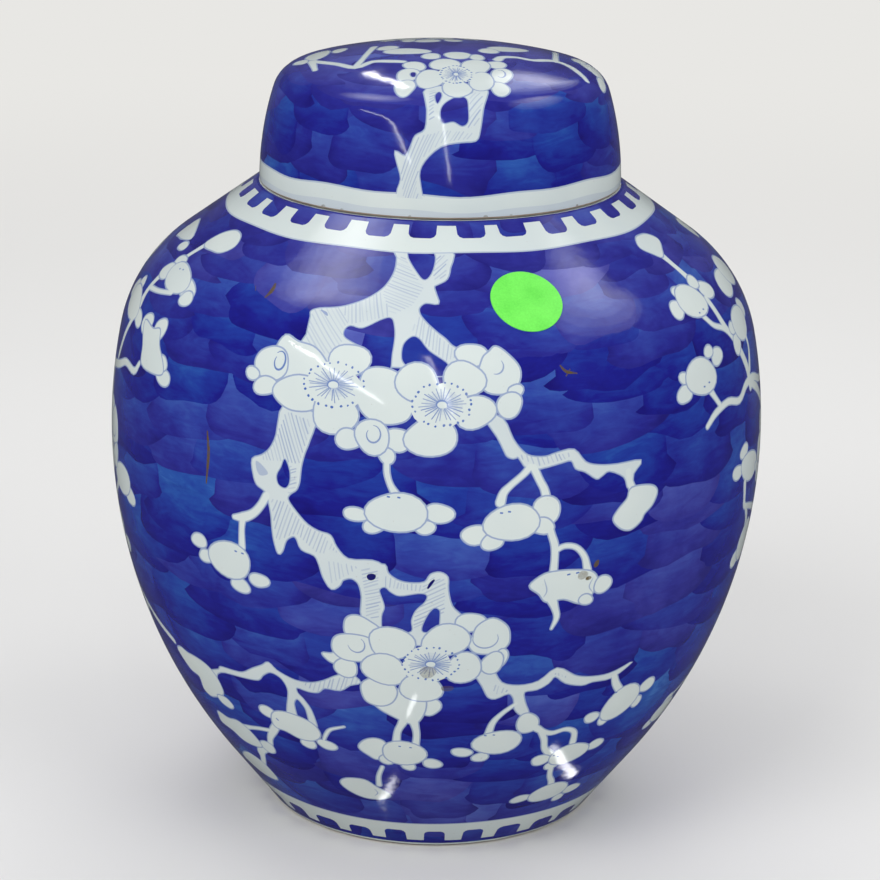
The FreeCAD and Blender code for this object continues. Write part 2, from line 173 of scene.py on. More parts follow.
def lid_profiles():
    """Outer and inner outlines of the lid, from the rim up to the middle of the top."""
    height = LID_TOP - LID_FOOT
    side_c = (LID_RADIUS - LID_SIDE_ARC, 0.0)
    dome_c = (0.0, height - LID_DOME)
    to_side, to_dome = LID_SIDE_ARC - LID_CORNER, LID_DOME - LID_CORNER
    gap = math.dist(side_c, dome_c)
    along = (to_side ** 2 - to_dome ** 2 + gap ** 2) / (2 * gap)
    off = math.sqrt(to_side ** 2 - along ** 2)
    ux, uz = (dome_c[0] - side_c[0]) / gap, (dome_c[1] - side_c[1]) / gap
    corner = max(((side_c[0] + along * ux - k * off * uz, side_c[1] + along * uz + k * off * ux)
                  for k in (-1, 1)), key=lambda p: p[1])
    low = math.atan2(corner[1] - side_c[1], corner[0] - side_c[0])
    high = math.atan2(corner[1] - dome_c[1], corner[0] - dome_c[0])

    def shell(inset):
        return joined(arc(side_c, LID_SIDE_ARC - inset, 0, low),
                      arc(corner, LID_CORNER - inset, low, high, 0.5),
                      arc(dome_c, LID_DOME - inset, high, math.pi / 2))

    outer = [(r, z + LID_FOOT) for r, z in shell(0.0)]
    inner = [(r, z + LID_FOOT) for r, z in shell(LID_WALL)]
    outer[-1] = (0.0, LID_TOP)
    inner[-1] = (0.0, LID_TOP - LID_WALL)
    return Profile(outer), inner


BODY, LOWER_LINING, UPPER_LINING, FOOT_RADIUS = body_profiles()
LID, LID_LINING = lid_profiles()
GIRTH_S = BODY.length_at_height(SPLIT)
WALL_START = FOOT_EDGE
WALL_END = BODY.length - SEAT_MARGIN
LID_REACH = LID.length - RIM_ROUND


# ---------------------------------------------------------------------------
# Drawing. A chart is the surface laid flat: on the body its points are degrees
# round from the front and millimetres up the wall, and on the lid millimetres
# from the middle of the top.
# ---------------------------------------------------------------------------
EDGE_LINE = 0.56            # strength of the pale line that edges white shapes
PETAL_EDGE, WOOD_EDGE, HOLE_EDGE = 0.62, 0.5, 0.4       # widths of that line, in millimetres
WOOD_TINT = 0.08            # how blue the trunks are beside the petals
SEAM_OVERLAP = 184          # degrees each way that shapes are kept, a little past the seam at the back
BAND_EDGE = 0.35            # strength of the pale line along the white bands
LID_FLAWS = 99.8            # how far from the middle of the lid the brown flaws of its rim lie
TOOTH_ROUND = 1.8           # height of the round end of a border's tooth
START_CAP = (-120, -150, 180, 150, 120)
END_CAP = (60, 30, 0, -30, -60)


def curve(points, per, closed):
    """A smooth line through the points, held back where they crowd so that it never loops."""
    p = np.array(points, float)
    before, after = np.roll(p, 1, 0), np.roll(p, -1, 0)
    if not closed:
        before[0], after[-1] = 2 * p[0] - p[1], 2 * p[-1] - p[-2]
    pull = (after - before) / 2
    room = np.minimum(np.hypot(*(p - before)[:, :2].T), np.hypot(*(after - p)[:, :2].T))
    pull *= np.minimum(1, 1.3 * room / np.maximum(np.hypot(*pull[:, :2].T), 1e-9))[:, None]
    line = []
    for i in range(len(p) - (not closed)):
        j = (i + 1) % len(p)
        for t in np.arange(per) / per:
            line.append(tuple((1 + 2 * t) * (1 - t) ** 2 * p[i] + t * (1 - t) ** 2 * pull[i]
                              + t * t * (3 - 2 * t) * p[j] - t * t * (1 - t) * pull[j]))
    return line if closed else line + [tuple(p[-1])]


def circled(points, per=4):
    return curve(points, per, True)


def flowing(points, per=5):
    return curve(points, per, False)


def signed_area(outline):
    """Positive for an outline that runs anticlockwise."""
    return 0.5 * sum(outline[i - 1][0] * p[1] - p[0] * outline[i - 1][1]
                     for i, p in enumerate(outline))


class Chart:
    """Shapes laid over each other, in the order in which they are painted."""

    def __init__(self, metric, wraps):
        self.metric = metric
        self.wraps = wraps
        self.outlines = []
        self.owner = []
        self.paint = []
        self.turn, self.lift = 0.0, 0.0

    def placed(self, points):
        """Points of a motif where that motif is being painted."""
        if not self.wraps:
            return list(points)
        return [(p[0] + self.turn, p[1] + self.lift) for p in points]

    def add(self, outline, *paint):
        """Lays one closed outline over what is there. Paint says what it does."""
        outline = self.placed(outline)
        self.lay(outline, len(self.paint))
        self.paint.append(paint)

    def add_round(self, outline, *paint):
        """Lays an outline that already runs right round, without copies."""
        self.outlines.append(outline if signed_area(outline) > 0 else outline[::-1])
        self.owner.append(len(self.paint))
        self.paint.append(paint)

    def lay(self, outline, owner):
        """Keeps an outline, turned anticlockwise, and its copies over the chart's seam."""
        if signed_area(outline) < 0:
            outline = outline[::-1]
        shifts = (0.0,)
        if self.wraps:
            lowest = min(p[0] for p in outline)
            highest = max(p[0] for p in outline)
            shifts = [k for k in (-360.0, 0.0, 360.0)
                      if lowest + k < SEAM_OVERLAP and highest + k > -SEAM_OVERLAP]
        for shift in shifts:
            self.outlines.append([(p[0] + shift, p[1]) for p in outline])
            self.owner.append(owner)

    def grown(self, outline, amount):
        """The outline moved outwards by a distance on the real surface."""
        count = len(outline)
        scale = [self.metric(*p) for p in outline]
        flat = [(p[0] * k, p[1]) for p, k in zip(outline, scale)]
        side = math.copysign(amount, signed_area(flat))
        moved = []
        for i, p in enumerate(outline):
            dx = flat[(i + 1) % count][0] - flat[i - 1][0]
            dy = flat[(i + 1) % count][1] - flat[i - 1][1]
            size = math.hypot(dx, dy) or 1.0
            moved.append((p[0] + side * dy / size / scale[i], p[1] - side * dx / size))
        return moved

    def white(self, outline):
        """White porcelain left bare by the wash, with the thin line round it."""
        self.add(self.grown(outline, PETAL_EDGE), "line", EDGE_LINE)
        self.add(outline, "white")

    def leaf(self, points):
        """A white shape with a smooth outline through the points."""
        self.white(circled(points))

    def wood(self, outline):
        """White wood, edged only where it doesn't lie on other white."""
        self.add(self.grown(outline, WOOD_EDGE), "rim", EDGE_LINE)
        self.add(outline, "white")

    def branch(self, points):
        """A trunk or branch with a smooth outline, a little bluer than the petals."""
        outline = circled(points, 3)
        self.wood(outline)
        self.add(outline, "line", WOOD_TINT)

    def hole(self, outline):
        """Wash seen through an opening in a white shape."""
        self.add(self.grown(outline, HOLE_EDGE), "line", EDGE_LINE)
        self.add(outline, "wash")

    def sides(self, line, halves):
        """Points at half the width to both sides of a line, and the way that it runs there."""
        left, right, ways = [], [], []
        for i, (p, half) in enumerate(zip(line, halves)):
            k = self.metric(p[0], p[1])
            a, b = line[max(i - 1, 0)], line[min(i + 1, len(line) - 1)]
            dx, dy = (b[0] - a[0]) * k, b[1] - a[1]
            size = math.hypot(dx, dy) or 1.0
            dx, dy = dx / size, dy / size
            left.append((p[0] - dy * half / k, p[1] + dx * half))
            right.append((p[0] + dy * half / k, p[1] - dx * half))
            ways.append((dx, dy))
        return left, right, ways

    def stroke(self, points, width, *paint, taper=0.35):
        """A brush line along the points, thinner at its ends."""
        line = flowing(points, 4) if len(points) > 2 else list(points)
        along = [min(max(i / (len(line) - 1), 0.02), 0.98) for i in range(len(line))]
        halves = [width / 2 * (taper + (1 - taper) * math.sin(math.pi * t)) for t in along]
        left, right, _ = self.sides(line, halves)
        self.add(left + right[::-1], *paint)

    def cap(self, p, way, turns):
        """The round end of a ribbon at p, whose third number is the width."""
        k, half = self.metric(p[0], p[1]), p[2] / 2
        points = []
        for turn in map(math.radians, turns):
            across = way[0] * math.cos(turn) - way[1] * math.sin(turn)
            up = way[1] * math.cos(turn) + way[0] * math.sin(turn)
            points.append((p[0] + across * half / k, p[1] + up * half))
        return points

    def ribbon(self, points, widths):
        """A twig along the points, with its width given at each of them and round ends."""
        line = flowing([(p[0], p[1], w) for p, w in zip(points, widths)], 4)
        left, right, ways = self.sides(line, [p[2] / 2 for p in line])
        self.wood(self.cap(line[0], ways[0], START_CAP) + left
                  + self.cap(line[-1], ways[-1], END_CAP) + right[::-1])

    def oval(self, x, y, across, up, lean=0.0, uneven=0.09, seed=0):
        """A brushed oval outline. Across and up are half sizes in chart units."""
        k = self.metric(x, y)
        wobble = random.Random(seed * 977 + int(x * 10) + int(y * 7))
        phase = [wobble.uniform(0, 2 * math.pi) for _ in range(2)]
        turn = math.radians(lean)
        points = []
        count = 22 if max(across * k, up) > 3 else 14
        for i in range(count):
            a = 2 * math.pi * i / count
            grow = 1 + uneven * math.sin(2 * a + phase[0]) + 0.5 * uneven * math.sin(3 * a + phase[1])
            px, py = across * k * math.cos(a) * grow, up * math.sin(a) * grow
            points.append((x + (px * math.cos(turn) - py * math.sin(turn)) / k,
                           y + px * math.sin(turn) + py * math.cos(turn)))
        return points

    def hatch(self, outline, spacing=1.25, lean=60.0, width=0.5, strength=0.4, inset=0.15):
        """Parallel brush lines across a white shape."""
        middle = tuple(sum(column) / len(outline) for column in zip(*outline))
        k = self.metric(*middle)
        turn = math.radians(lean)
        along, over = (math.cos(turn), math.sin(turn)), (-math.sin(turn), math.cos(turn))
        flat = [((p[0] - middle[0]) * k, p[1] - middle[1]) for p in outline]
        rows = [p[0] * over[0] + p[1] * over[1] for p in flat]
        runs = [p[0] * along[0] + p[1] * along[1] for p in flat]
        shake = random.Random(int(middle[1] * 31))
        row = min(rows) + spacing
        while row < max(rows) - 0.4 * spacing:
            cuts = []
            for i in range(len(flat)):
                r0, r1 = rows[i - 1], rows[i]
                if (r0 < row) != (r1 < row):
                    cuts.append(runs[i - 1] + (runs[i] - runs[i - 1]) * (row - r0) / (r1 - r0))
            cuts.sort()
            for a, b in zip(cuts[::2], cuts[1::2]):
                if b - a > 2 * inset + 1.0:
                    drift = shake.uniform(-0.35, 0.35)
                    ends = [(middle[0] + (t * along[0] + r * over[0]) / k,
                             middle[1] + t * along[1] + r * over[1])
                            for t, r in ((a + inset, row), ((a + b) / 2, row + 0.7 * drift),
                                         (b - inset * shake.uniform(0.8, 5.0), row + drift))]
                    self.stroke(ends, width * shake.uniform(0.7, 1.2), "hatch",
                                strength * shake.uniform(0.6, 1.2), taper=0.9)
            row += spacing * shake.uniform(0.85, 1.2)


def body_metric(x, y):
    """Millimetres across for one degree round the body."""
    return float(BODY.at(np.clip(y, 0, BODY.length))[0]) * math.pi / 180


body = Chart(body_metric, True)
lid = Chart(lambda x, y: 1.0, False)

# ---------------------------------------------------------------------------
# The cobalt ground: bowl-shaped brush marks in columns, each over the one below.
# ---------------------------------------------------------------------------
def brush_mark(chart, x, y, across, up, tone, violet_and_sheen, shake):
    """One loaded brush mark, darkest along its lower edge."""
    sway = shake.uniform(-0.25, 0.25)
    deep = shake.uniform(0.4, 0.95) * up
    tilt = shake.uniform(-0.3, 0.3) * up
    waves = [(shake.uniform(0.02, 0.07) * up, shake.uniform(2, 6), shake.uniform(0, 6))
             for _ in range(2)]
    outline = []
    steps = 28
    for i in range(steps):
        a = 2 * math.pi * i / steps
        u, v = (math.copysign(abs(f(a)) ** 0.8, f(a)) for f in (math.cos, math.sin))
        wave = sum(size * math.sin(rate * u + phase) for size, rate, phase in waves)
        tall = deep if v < 0 else 1.3 * up
        wide = across * (1 + sway * u * (v < 0))
        outline.append((x + wide * u, y + tall * v + wave * abs(v) + tilt * u))
    placed = chart.placed([(x, y)])[0]
    chart.add(outline, "mark", placed[0], placed[1], across, deep, tilt, tone, violet_and_sheen)


def cobalt_ground(chart, columns, low, high, up, seed, violet_and_sheen_at):
    """Brush marks all round the chart from low to high, the lowest first."""
    shake = random.Random(seed)
    step = 360 / columns
    marks = []
    for column in range(columns):
        x = (column + 0.5) * step - 180
        y = low - up * shake.uniform(0.2, 0.9)
        while y < high + up:
            marks.append((y, x + step * shake.uniform(-0.2, 0.2)))
            y += up * shake.uniform(0.45, 1.5)
    marks.sort()
    for y, x in marks:
        tone = shake.uniform(-0.14, 0.14)
        # how violet each mark is, which also carries the painted sheen
        violet_and_sheen = min(1.0, max(0.0, violet_and_sheen_at(x, y) + shake.uniform(-0.2, 0.25)))
        brush_mark(chart, x, y, step * shake.uniform(0.55, 0.85), up * shake.uniform(0.8, 1.4),
                   tone, violet_and_sheen, shake)


# Patches of thin violet wash on each half of the body: middle, half sizes and strength
# They are partly the wash's own uneven colour and partly painted sheen: the two big patches high on the
# shoulder stand in for bright light reflected in the glaze
VIOLET_AND_SHEEN_PATCHES = ((-24, 250, 14, 18, 1.0), (31, 250, 9, 18, 0.9), (-4, 51, 9, 12, 1.0),
                  (-16, 88, 12, 12, 0.6), (12, 90, 8, 10, 0.6), (-15, 132, 5, 9, 0.7),
                  (-12, 222, 6, 8, 0.6), (44, 150, 14, 50, 0.35), (-66, 245, 22, 18, 0.6),
                  (70, 245, 22, 18, 0.6), (0, 20, 60, 14, 0.45))
# the wash turns more violet up the shoulder: painted sheen of light from above
SHOULDER_SHEEN_FROM, SHOULDER_SHEEN_RISE = 228, 0.009


def body_violet_and_sheen(x, y):
    """How violet the wash is, painted sheen included: a little, rising up the shoulder, and more in the
    patches.
    """
    x = (x + 90) % 180 - 90
    most = max(0.0, (y - SHOULDER_SHEEN_FROM) * SHOULDER_SHEEN_RISE)
    for px, py, wide, tall, much in VIOLET_AND_SHEEN_PATCHES:
        far = math.hypot((x - px) / wide, (y - py) / tall)
        most = max(most, much * (1.25 - far))
    return most


# ---------------------------------------------------------------------------
# Motifs: plum blossom, buds and branches.
# ---------------------------------------------------------------------------
def swirl(chart, x, y, across, up, start, turns, width=0.6, strength=0.75, inner=0.35):
    """A curled brush line inside a petal."""
    count = max(6, int(abs(turns) * 14))
    line = []
    for i in range(count + 1):
        t = i / count
        a = math.radians(start) + turns * 2 * math.pi * t
        reach = 1 - (1 - inner) * t
        line.append((x + across * reach * math.cos(a), y + up * reach * math.sin(a)))
    chart.stroke(line, width, "line", strength)


def stamens(chart, x, y, across, up, seed=1, count=27, dots=25, gap=None):
    """Fine rays from the flower's middle, with a ring of dots round them."""
    shake = random.Random(seed)
    k = chart.metric(x, y)
    for size, strength in ((0.6, 0.1), (0.44, 0.2), (0.3, 0.36)):
        chart.add(chart.oval(x + 0.08 * across, y + 0.05 * up, across * size, up * size,
                             seed=seed), "line", strength)
    for i in range(count):
        a = 2 * math.pi * (i + shake.uniform(-0.3, 0.3)) / count
        near, far = shake.uniform(0.16, 0.24), shake.uniform(0.66, 0.86)
        ends = [(x + across * t * math.cos(a), y + up * t * math.sin(a)) for t in (near, far)]
        chart.stroke(ends, 0.55, "line", shake.uniform(0.5, 0.8), taper=0.6)
    chart.add(chart.oval(x, y, across * 0.17, up * 0.17, seed=seed + 2), "white")
    swirl(chart, x, y, across * 0.2, up * 0.2, 250, -0.75, 0.65, 0.8, 0.9)
    for i in range(dots):
        a = 2 * math.pi * (i + shake.uniform(-0.2, 0.2)) / dots
        if gap and gap[0] < math.degrees(a) % 360 < gap[1]:
            continue
        reach = shake.uniform(0.95, 1.04)
        size = shake.uniform(0.34, 0.52)
        chart.add(chart.oval(x + across * reach * math.cos(a), y + up * reach * math.sin(a),
                             size / k, size, seed=i), "line", shake.uniform(0.8, 1.0))


def petals(chart, *shapes):
    """White petals in the order given: (x, y, half width, half height, lean)."""
    for number, (x, y, across, up, lean) in enumerate(shapes):
        chart.white(chart.oval(x, y, across, up, lean, seed=number + int(x)))


def bud(chart, x, y, across, up, lean=0.0, dots=(), stem=None):
    """A round bud on its stem, with small ink marks at its tip."""
    if stem:
        chart.ribbon(stem, [1.7] * (len(stem) - 1) + [2.6])
    chart.white(chart.oval(x, y, across, up, lean, 0.07, seed=3))
    for dx, dy in dots:
        chart.stroke([(dx - 0.25, dy + 0.15), (dx + 0.25, dy)], 0.7, "line", 0.95, taper=0.8)


def flower_a(chart):
    """The upper flower on the left. Its outer petals are laid first."""
    chart.leaf([(-29.5, 218), (-28.4, 224.6), (-25.6, 223), (-22.5, 222), (-20.3, 219), (-19, 215),
                (-19.5, 210.5), (-23, 207.5), (-28, 209)])
    chart.leaf([(-32.9, 213.5), (-32.3, 217.5), (-30.2, 219.8), (-28.2, 219.6), (-26.9, 217),
                (-26.6, 212), (-28.4, 208.8), (-31.6, 209.7)])
    swirl(chart, -28.2, 215.3, 1.25, 3.6, 130, -0.95, 0.75, 0.85, 0.72)
    petals(chart, (-33, 209.6, 1.3, 2.1, 0), (-30.1, 206.2, 2.1, 3.2, 20))
    chart.leaf([(-28.4, 205), (-27.4, 208.6), (-24, 211.5), (-20, 210), (-19.5, 204),
                (-21.2, 200.4), (-24.5, 199.6), (-27, 201.6)])
    petals(chart, (-16.9, 200, 4.2, 6.3, 0), (-15.4, 218.6, 3.4, 6.0, 0))
    chart.leaf([(-13, 211), (-12.3, 215.4), (-10, 216.9), (-7, 215.6), (-4.6, 211), (-4, 204),
                (-5, 199.6), (-8, 198), (-11, 199.5), (-13, 204)])
    chart.add(chart.oval(-17.4, 209.4, 5.3, 7.6), "white")
    stamens(chart, -17.6, 209.8, 5.2, 7.6, 11, gap=(330, 350))


def flower_b(chart):
    """The upper flower on the right, with the buds under it."""
    petals(chart, (6.0, 222.2, 2.6, 4.0, 0))
    chart.leaf([(8, 221), (9.2, 223.2), (10.4, 224.9), (12.3, 222.2), (14.2, 217), (13.7, 211.6),
                (11.5, 208.8), (8.5, 209.4), (7, 214)])
    swirl(chart, 10, 218, 1.5, 3, 40, -0.4, 0.6, 0.6, 0.9)
    petals(chart, (4.6, 213.9, 3.4, 6.0, 10), (-3.3, 212.3, 3.8, 6.3, 0),
           (13.3, 209.4, 1.2, 2.0, 0), (12.1, 204.6, 2.2, 3.9, 15), (6.4, 202.5, 3.3, 5.4, 0),
           (-14.4, 191.8, 2.1, 3.4, -20), (-6.2, 192.6, 2.0, 4.1, 0), (-7.9, 187, 1.3, 2.6, 0),
           (-10.4, 193.2, 2.9, 5.6, 0), (-0.8, 193.9, 4.3, 6.4, -6))
    swirl(chart, -10.3, 194, 1.35, 3.2, 90, -0.85, 0.65, 0.7, 0.75)
    chart.add(chart.oval(0.6, 204.6, 4.7, 7.6), "white")
    stamens(chart, 0.9, 205.1, 4.8, 7.4, 23, gap=(205, 230))


def flower_c(chart):
    """The lower flower, which stands at the sides as well."""
    petals(chart, (-0.2, 89.4, 1.7, 3.9, 0))
    chart.leaf([(-11, 92), (-10, 88), (-7.4, 84.4), (-4.6, 81.4), (-3.2, 81), (-2, 84), (-1.2, 89),
                (-1.6, 94), (-5, 97), (-9, 96)])
    chart.leaf([(-12.5, 99), (-12.8, 95), (-12, 90.6), (-9.6, 89), (-7.4, 91), (-6.4, 96),
                (-7.6, 100.4), (-10.4, 101.4)])
    chart.leaf([(-17.8, 110.4), (-19.5, 110), (-18.4, 107.2), (-17, 106.6), (-15.6, 109),
                (-16.4, 112)])
    chart.leaf([(-14.9, 124.6), (-14, 127), (-12.4, 127.3), (-10.6, 125.4), (-9, 122.6), (-9, 118),
                (-12, 117), (-14.8, 119.6)])
    petals(chart, (-15.4, 104.9, 2.2, 3.7, 0))
    chart.leaf([(-17.4, 112), (-17.2, 116.6), (-15.8, 118.9), (-13, 119.4), (-10.6, 118),
                (-10, 113), (-12, 109), (-15.6, 108.8)])
    swirl(chart, -13.1, 115.6, 1.6, 3.6, 190, 0.62, 0.6, 0.65, 0.85)
    petals(chart, (6.2, 126.3, 2.3, 3.8, 0))
    chart.leaf([(6.8, 121), (7.6, 125), (10, 127.6), (12.4, 124.2), (13, 119.5), (12.6, 116),
                (10.5, 113.4), (7.5, 113.8), (6.2, 117)])
    swirl(chart, 9, 119.6, 2.3, 4.2, 160, 0.62, 0.6, 0.6, 0.9)
    petals(chart, (12, 111.3, 1.0, 3.4, 0), (10.4, 109, 1.9, 4.4, -10))
    petals(chart, (-7, 117.2, 4.2, 6.0, 0), (-8.5, 105.7, 4.1, 6.2, 0), (5.4, 107.2, 3.2, 6.1, 0),
           (2.2, 119, 3.9, 6.6, 0), (-2, 98, 4.1, 5.5, 0))
    chart.add(chart.oval(-0.9, 108.6, 4.7, 7.2), "white")
    stamens(chart, -0.3, 109.0, 4.9, 6.9, 31)


def upper_trunk(chart):
    """The trunk that comes down from the lid and forks behind the upper flowers."""
    left = [(-11, 266), (-10.2, 262), (-10, 256), (-11, 250), (-12.5, 246), (-15, 242), (-18, 239),
            (-20.5, 237.5), (-23.5, 236.5), (-25, 235), (-24.7, 233), (-24.3, 226), (-24, 218)]
    right = [(5, 218), (4, 223.5), (2.5, 225.5), (1.3, 228), (0, 230), (-2, 233.5), (-3.5, 237),
             (-3.8, 240), (-2.5, 242.3), (0, 242), (-0.5, 246), (-1, 249.5), (0, 250.8),
             (1.8, 253), (2.6, 258), (2.7, 266)]
    chart.branch(left + right)
    chart.hatch([(-25, 236.5), (-24, 220), (-17, 220), (-17.6, 230), (-16.6, 233), (-19.6, 239)],
                lean=132, strength=0.26)
    chart.hatch([(-19.6, 238.6), (-16.6, 231.5), (-9, 236), (-12, 246.5)], lean=105, strength=0.3)
    chart.hatch([(-12, 246), (-9, 236), (-5, 241), (-3, 249), (-6, 256), (-8.5, 263), (-10.4, 262),
                 (-10.6, 252)], lean=158, strength=0.3)
    chart.hatch([(-5, 232), (-4.2, 229), (1.5, 220), (4.4, 222), (1.2, 227.5), (-3.4, 237)], lean=84,
                strength=0.34)
    chart.hatch([(-1.2, 264), (-1.2, 252.5), (1.6, 253.5), (2.3, 264)], lean=50)
    chart.hole(circled([(-7.7, 263.8), (-4.4, 264.8), (-1.2, 264), (-1.4, 257), (-3, 252.5), (-5, 256)]))
    chart.hole(circled([(-9.3, 235.3), (-8.5, 234), (-7.9, 229), (-8, 222), (-8.4, 215), (-12, 215),
                        (-12.3, 221), (-13, 223.5), (-15, 225), (-17, 227), (-17.2, 229.5),
                        (-16.3, 231), (-14, 230.5), (-11, 234)]))
    chart.hole(circled([(-4.5, 228.5), (-3.2, 227.5), (-1.5, 223.5), (1.5, 219.5), (1.9, 217),
                        (1.2, 215), (-1.5, 215), (-3.5, 216), (-5.7, 219), (-6.2, 222), (-5.9, 226)]))
    chart.stroke([(-23.2, 236), (-22, 235), (-21.4, 234)], 1.0, "line", 0.6)


def middle_trunk(chart):
    """The branch behind the lower flower, down from the left."""
    chart.branch([(-18.5, 148), (-17.5, 139), (-17, 137.5), (-16, 139), (-15, 141), (-13.5, 142),
                 (-12.3, 140), (-11.8, 135), (-11.8, 126), (-8, 118), (2, 118), (5.4, 127),
                 (4.5, 129.5), (3, 133), (2.3, 139), (2.2, 144), (1, 145.8), (-0.5, 145),
                 (-1.5, 142), (-4, 141.5), (-6, 142.5), (-7.5, 145), (-8, 148), (-10, 147.5),
                 (-14.5, 149), (-17, 152)])
    chart.hatch([(-18, 148), (-17, 139), (-14, 143), (-12, 147)], lean=96, spacing=1.5)
    chart.hatch([(-12, 146.5), (-11.3, 135), (-11.3, 127), (-8.8, 127), (-8.6, 136), (-9, 146.5)], lean=20)
    chart.hatch([(-8.3, 145), (-8, 139.5), (-2, 138.3), (-1.6, 141.4), (-5.5, 142)], lean=84)
    chart.hatch([(-1.8, 140.5), (-3, 131), (-3.4, 124), (-2, 124), (2, 131), (2, 143.5), (0, 144.5)],
                lean=28)
    chart.hole(circled([(-8.8, 138), (-8, 139.3), (-7, 137.5), (-5.5, 136.3), (-2.5, 137.5),
                        (-1.2, 137), (-1.5, 134.5), (-3, 131), (-3.7, 127), (-3.7, 122.7),
                        (-6, 122), (-8.3, 122), (-8.5, 128), (-8, 132)]))
    chart.hole(circled([(0.2, 132), (1, 131), (1, 127), (0.8, 125), (-0.5, 122.7), (-1.7, 122.7),
                        (-1.7, 125), (-0.8, 129.5)]))
    chart.add(chart.oval(-10.2, 143.1, 0.85, 1.2, 10), "ink")
    chart.stroke([(-1.0, 139.6), (-0.5, 141.5), (0.1, 143.2)], 1.1, "ink", taper=0.5)


def lower_trunk(chart):
    """The branch from under flower A down to the left."""
    chart.branch([(-26, 201), (-27, 190), (-28, 185), (-29.5, 182), (-31.3, 180), (-31, 175),
                 (-30.3, 171.5), (-29, 170), (-28.3, 168.5), (-27.5, 162), (-27.3, 157), (-27, 152),
                 (-26.3, 147.5), (-25.5, 149), (-24.8, 153), (-23.5, 155), (-22.8, 154),
                 (-22, 150.5), (-19.8, 149), (-19, 146), (-18.3, 141), (-17, 137), (-15.5, 139),
                 (-14, 144), (-8.5, 147), (-10, 149.2), (-14, 149), (-16, 153), (-17, 157),
                 (-19, 158), (-21, 160), (-23, 164), (-24.5, 168), (-24, 170.3), (-23, 172),
                 (-22.5, 175), (-22.3, 180), (-21.8, 185), (-21, 190), (-20.3, 199)])
    chart.hatch([(-25.6, 199), (-28, 185), (-30.8, 180), (-26, 181), (-22.6, 181), (-21.4, 190),
                 (-20.9, 197)], lean=112, spacing=1.35)
    chart.hatch([(-24.6, 180), (-22.8, 180), (-22.8, 173), (-24.6, 169), (-24.4, 173)], lean=20)
    chart.hatch([(-27.6, 168), (-26.6, 152), (-23, 156), (-19.4, 150), (-15, 150), (-18, 157.4),
                 (-21.6, 160), (-24.6, 167)], lean=70, spacing=1.4)
    chart.add(circled([(-30.6, 179.6), (-29.4, 178.6), (-28.2, 176), (-29.6, 174.8), (-30.4, 176.6)]),
              "line", 0.42)
    chart.hole(circled([(-25.2, 182), (-24.3, 178), (-24.3, 174), (-25, 172), (-26.2, 173),
                        (-26.5, 176), (-25.8, 179)]))
    chart.ribbon([(-28.4, 168), (-29.5, 164), (-31, 160.5), (-33, 158.3), (-34.8, 157.6)],
                 [2.6, 2.4, 2.6, 3.0, 1.4])
    chart.ribbon([(-33, 158.6), (-33.3, 154), (-33.4, 147)], [2.6, 1.9, 2.4])


def right_branch(chart):
    """The branch from the upper right flower to the right, with its twigs."""
    chart.branch([(7.6, 202), (10, 194), (11.5, 187.5), (12.5, 186.4), (13.5, 186.6), (15, 182.4),
                 (17.3, 182.3), (20.5, 183.5), (22.5, 184), (23.3, 181), (25, 179.5), (27, 176.5),
                 (28, 177.2), (29.5, 178.5), (32.3, 175.5), (33, 171.5), (34, 171.5), (34.2, 176),
                 (35.8, 180), (31, 180.2), (27.5, 180.9), (25, 182.7), (23, 187.5), (20, 187),
                 (18, 186), (15.5, 186.6), (14, 188.7), (12.5, 193), (10.9, 200)])
    chart.hatch([(12, 187.5), (17, 183), (22, 184.6), (22.6, 186.8), (14, 187.8)], lean=108,
                spacing=1.5)
    chart.ribbon([(15.4, 183), (14.2, 180.4), (12.2, 177), (11, 174.4), (10.5, 171)],
                 [2.2, 1.8, 1.8, 2.4, 3.0])
    chart.ribbon([(16, 182.6), (17, 178), (17.8, 174.6), (18.3, 170)], [2.4, 2.2, 2.4, 2.8])
    chart.ribbon([(33.2, 177), (33.4, 174), (34.4, 168)], [2.4, 2.0, 3.4])
    chart.leaf([(33.9, 170.8), (37.7, 170.3), (39.2, 167.8), (38.3, 163.4), (36.6, 160.6),
                (35.8, 158), (33.9, 155.8), (32, 156.8), (30.4, 160.4), (31.2, 163.6),
                (33, 167.2)])


def middle_right_buds(chart):
    """Two buds and their twigs right of the middle."""
    petals(chart, (6.5, 159.6, 2.3, 3.1, 12), (9.3, 157, 1.7, 2.9, 0), (18.3, 167.4, 2.3, 4.6, 0),
           (17.6, 161.6, 1.9, 2.8, 0))
    bud(chart, 12.5, 163.6, 4.5, 6.4, 12, dots=((10.7, 167.2), (12.0, 167.5)))
    chart.ribbon([(18.6, 162), (19.2, 158), (19.8, 154), (19.9, 149), (19.8, 143)],
                 [2.4, 2.2, 2.4, 2.2, 2.6])
    chart.ribbon([(19.9, 152), (21.6, 153.4), (23.6, 152.4), (25.2, 148.6), (26, 143)],
                 [1.6, 1.5, 1.5, 1.8, 2.6])
    chart.leaf([(15.9, 139.6), (18, 143.2), (20, 144), (23, 143.8), (26.6, 142.4), (28, 139),
                (27.6, 135), (26.5, 131.6), (25, 130.6), (22, 133.2), (19, 132.8), (17.6, 136.2)])
    petals(chart, (29.2, 136.6, 1.7, 3.0, 0), (26.2, 131.6, 1.2, 2.0, 0))
    chart.ribbon([(19.8, 134), (20.6, 130), (21.1, 126), (20.4, 121.6)], [3.6, 2.2, 1.7, 0.6])
    chart.stroke([(18.3, 141.6), (18.9, 137.2), (18.4, 134.6)], 0.5, "line", 0.5)
    chart.stroke([(27.2, 139.8), (26.6, 136.6), (27.4, 134)], 0.5, "line", 0.5)
    for x, y in ((22.6, 142.3), (24.2, 142.5)):
        chart.stroke([(x - 0.3, y), (x + 0.3, y + 0.2)], 0.7, "line", 0.95, taper=0.8)


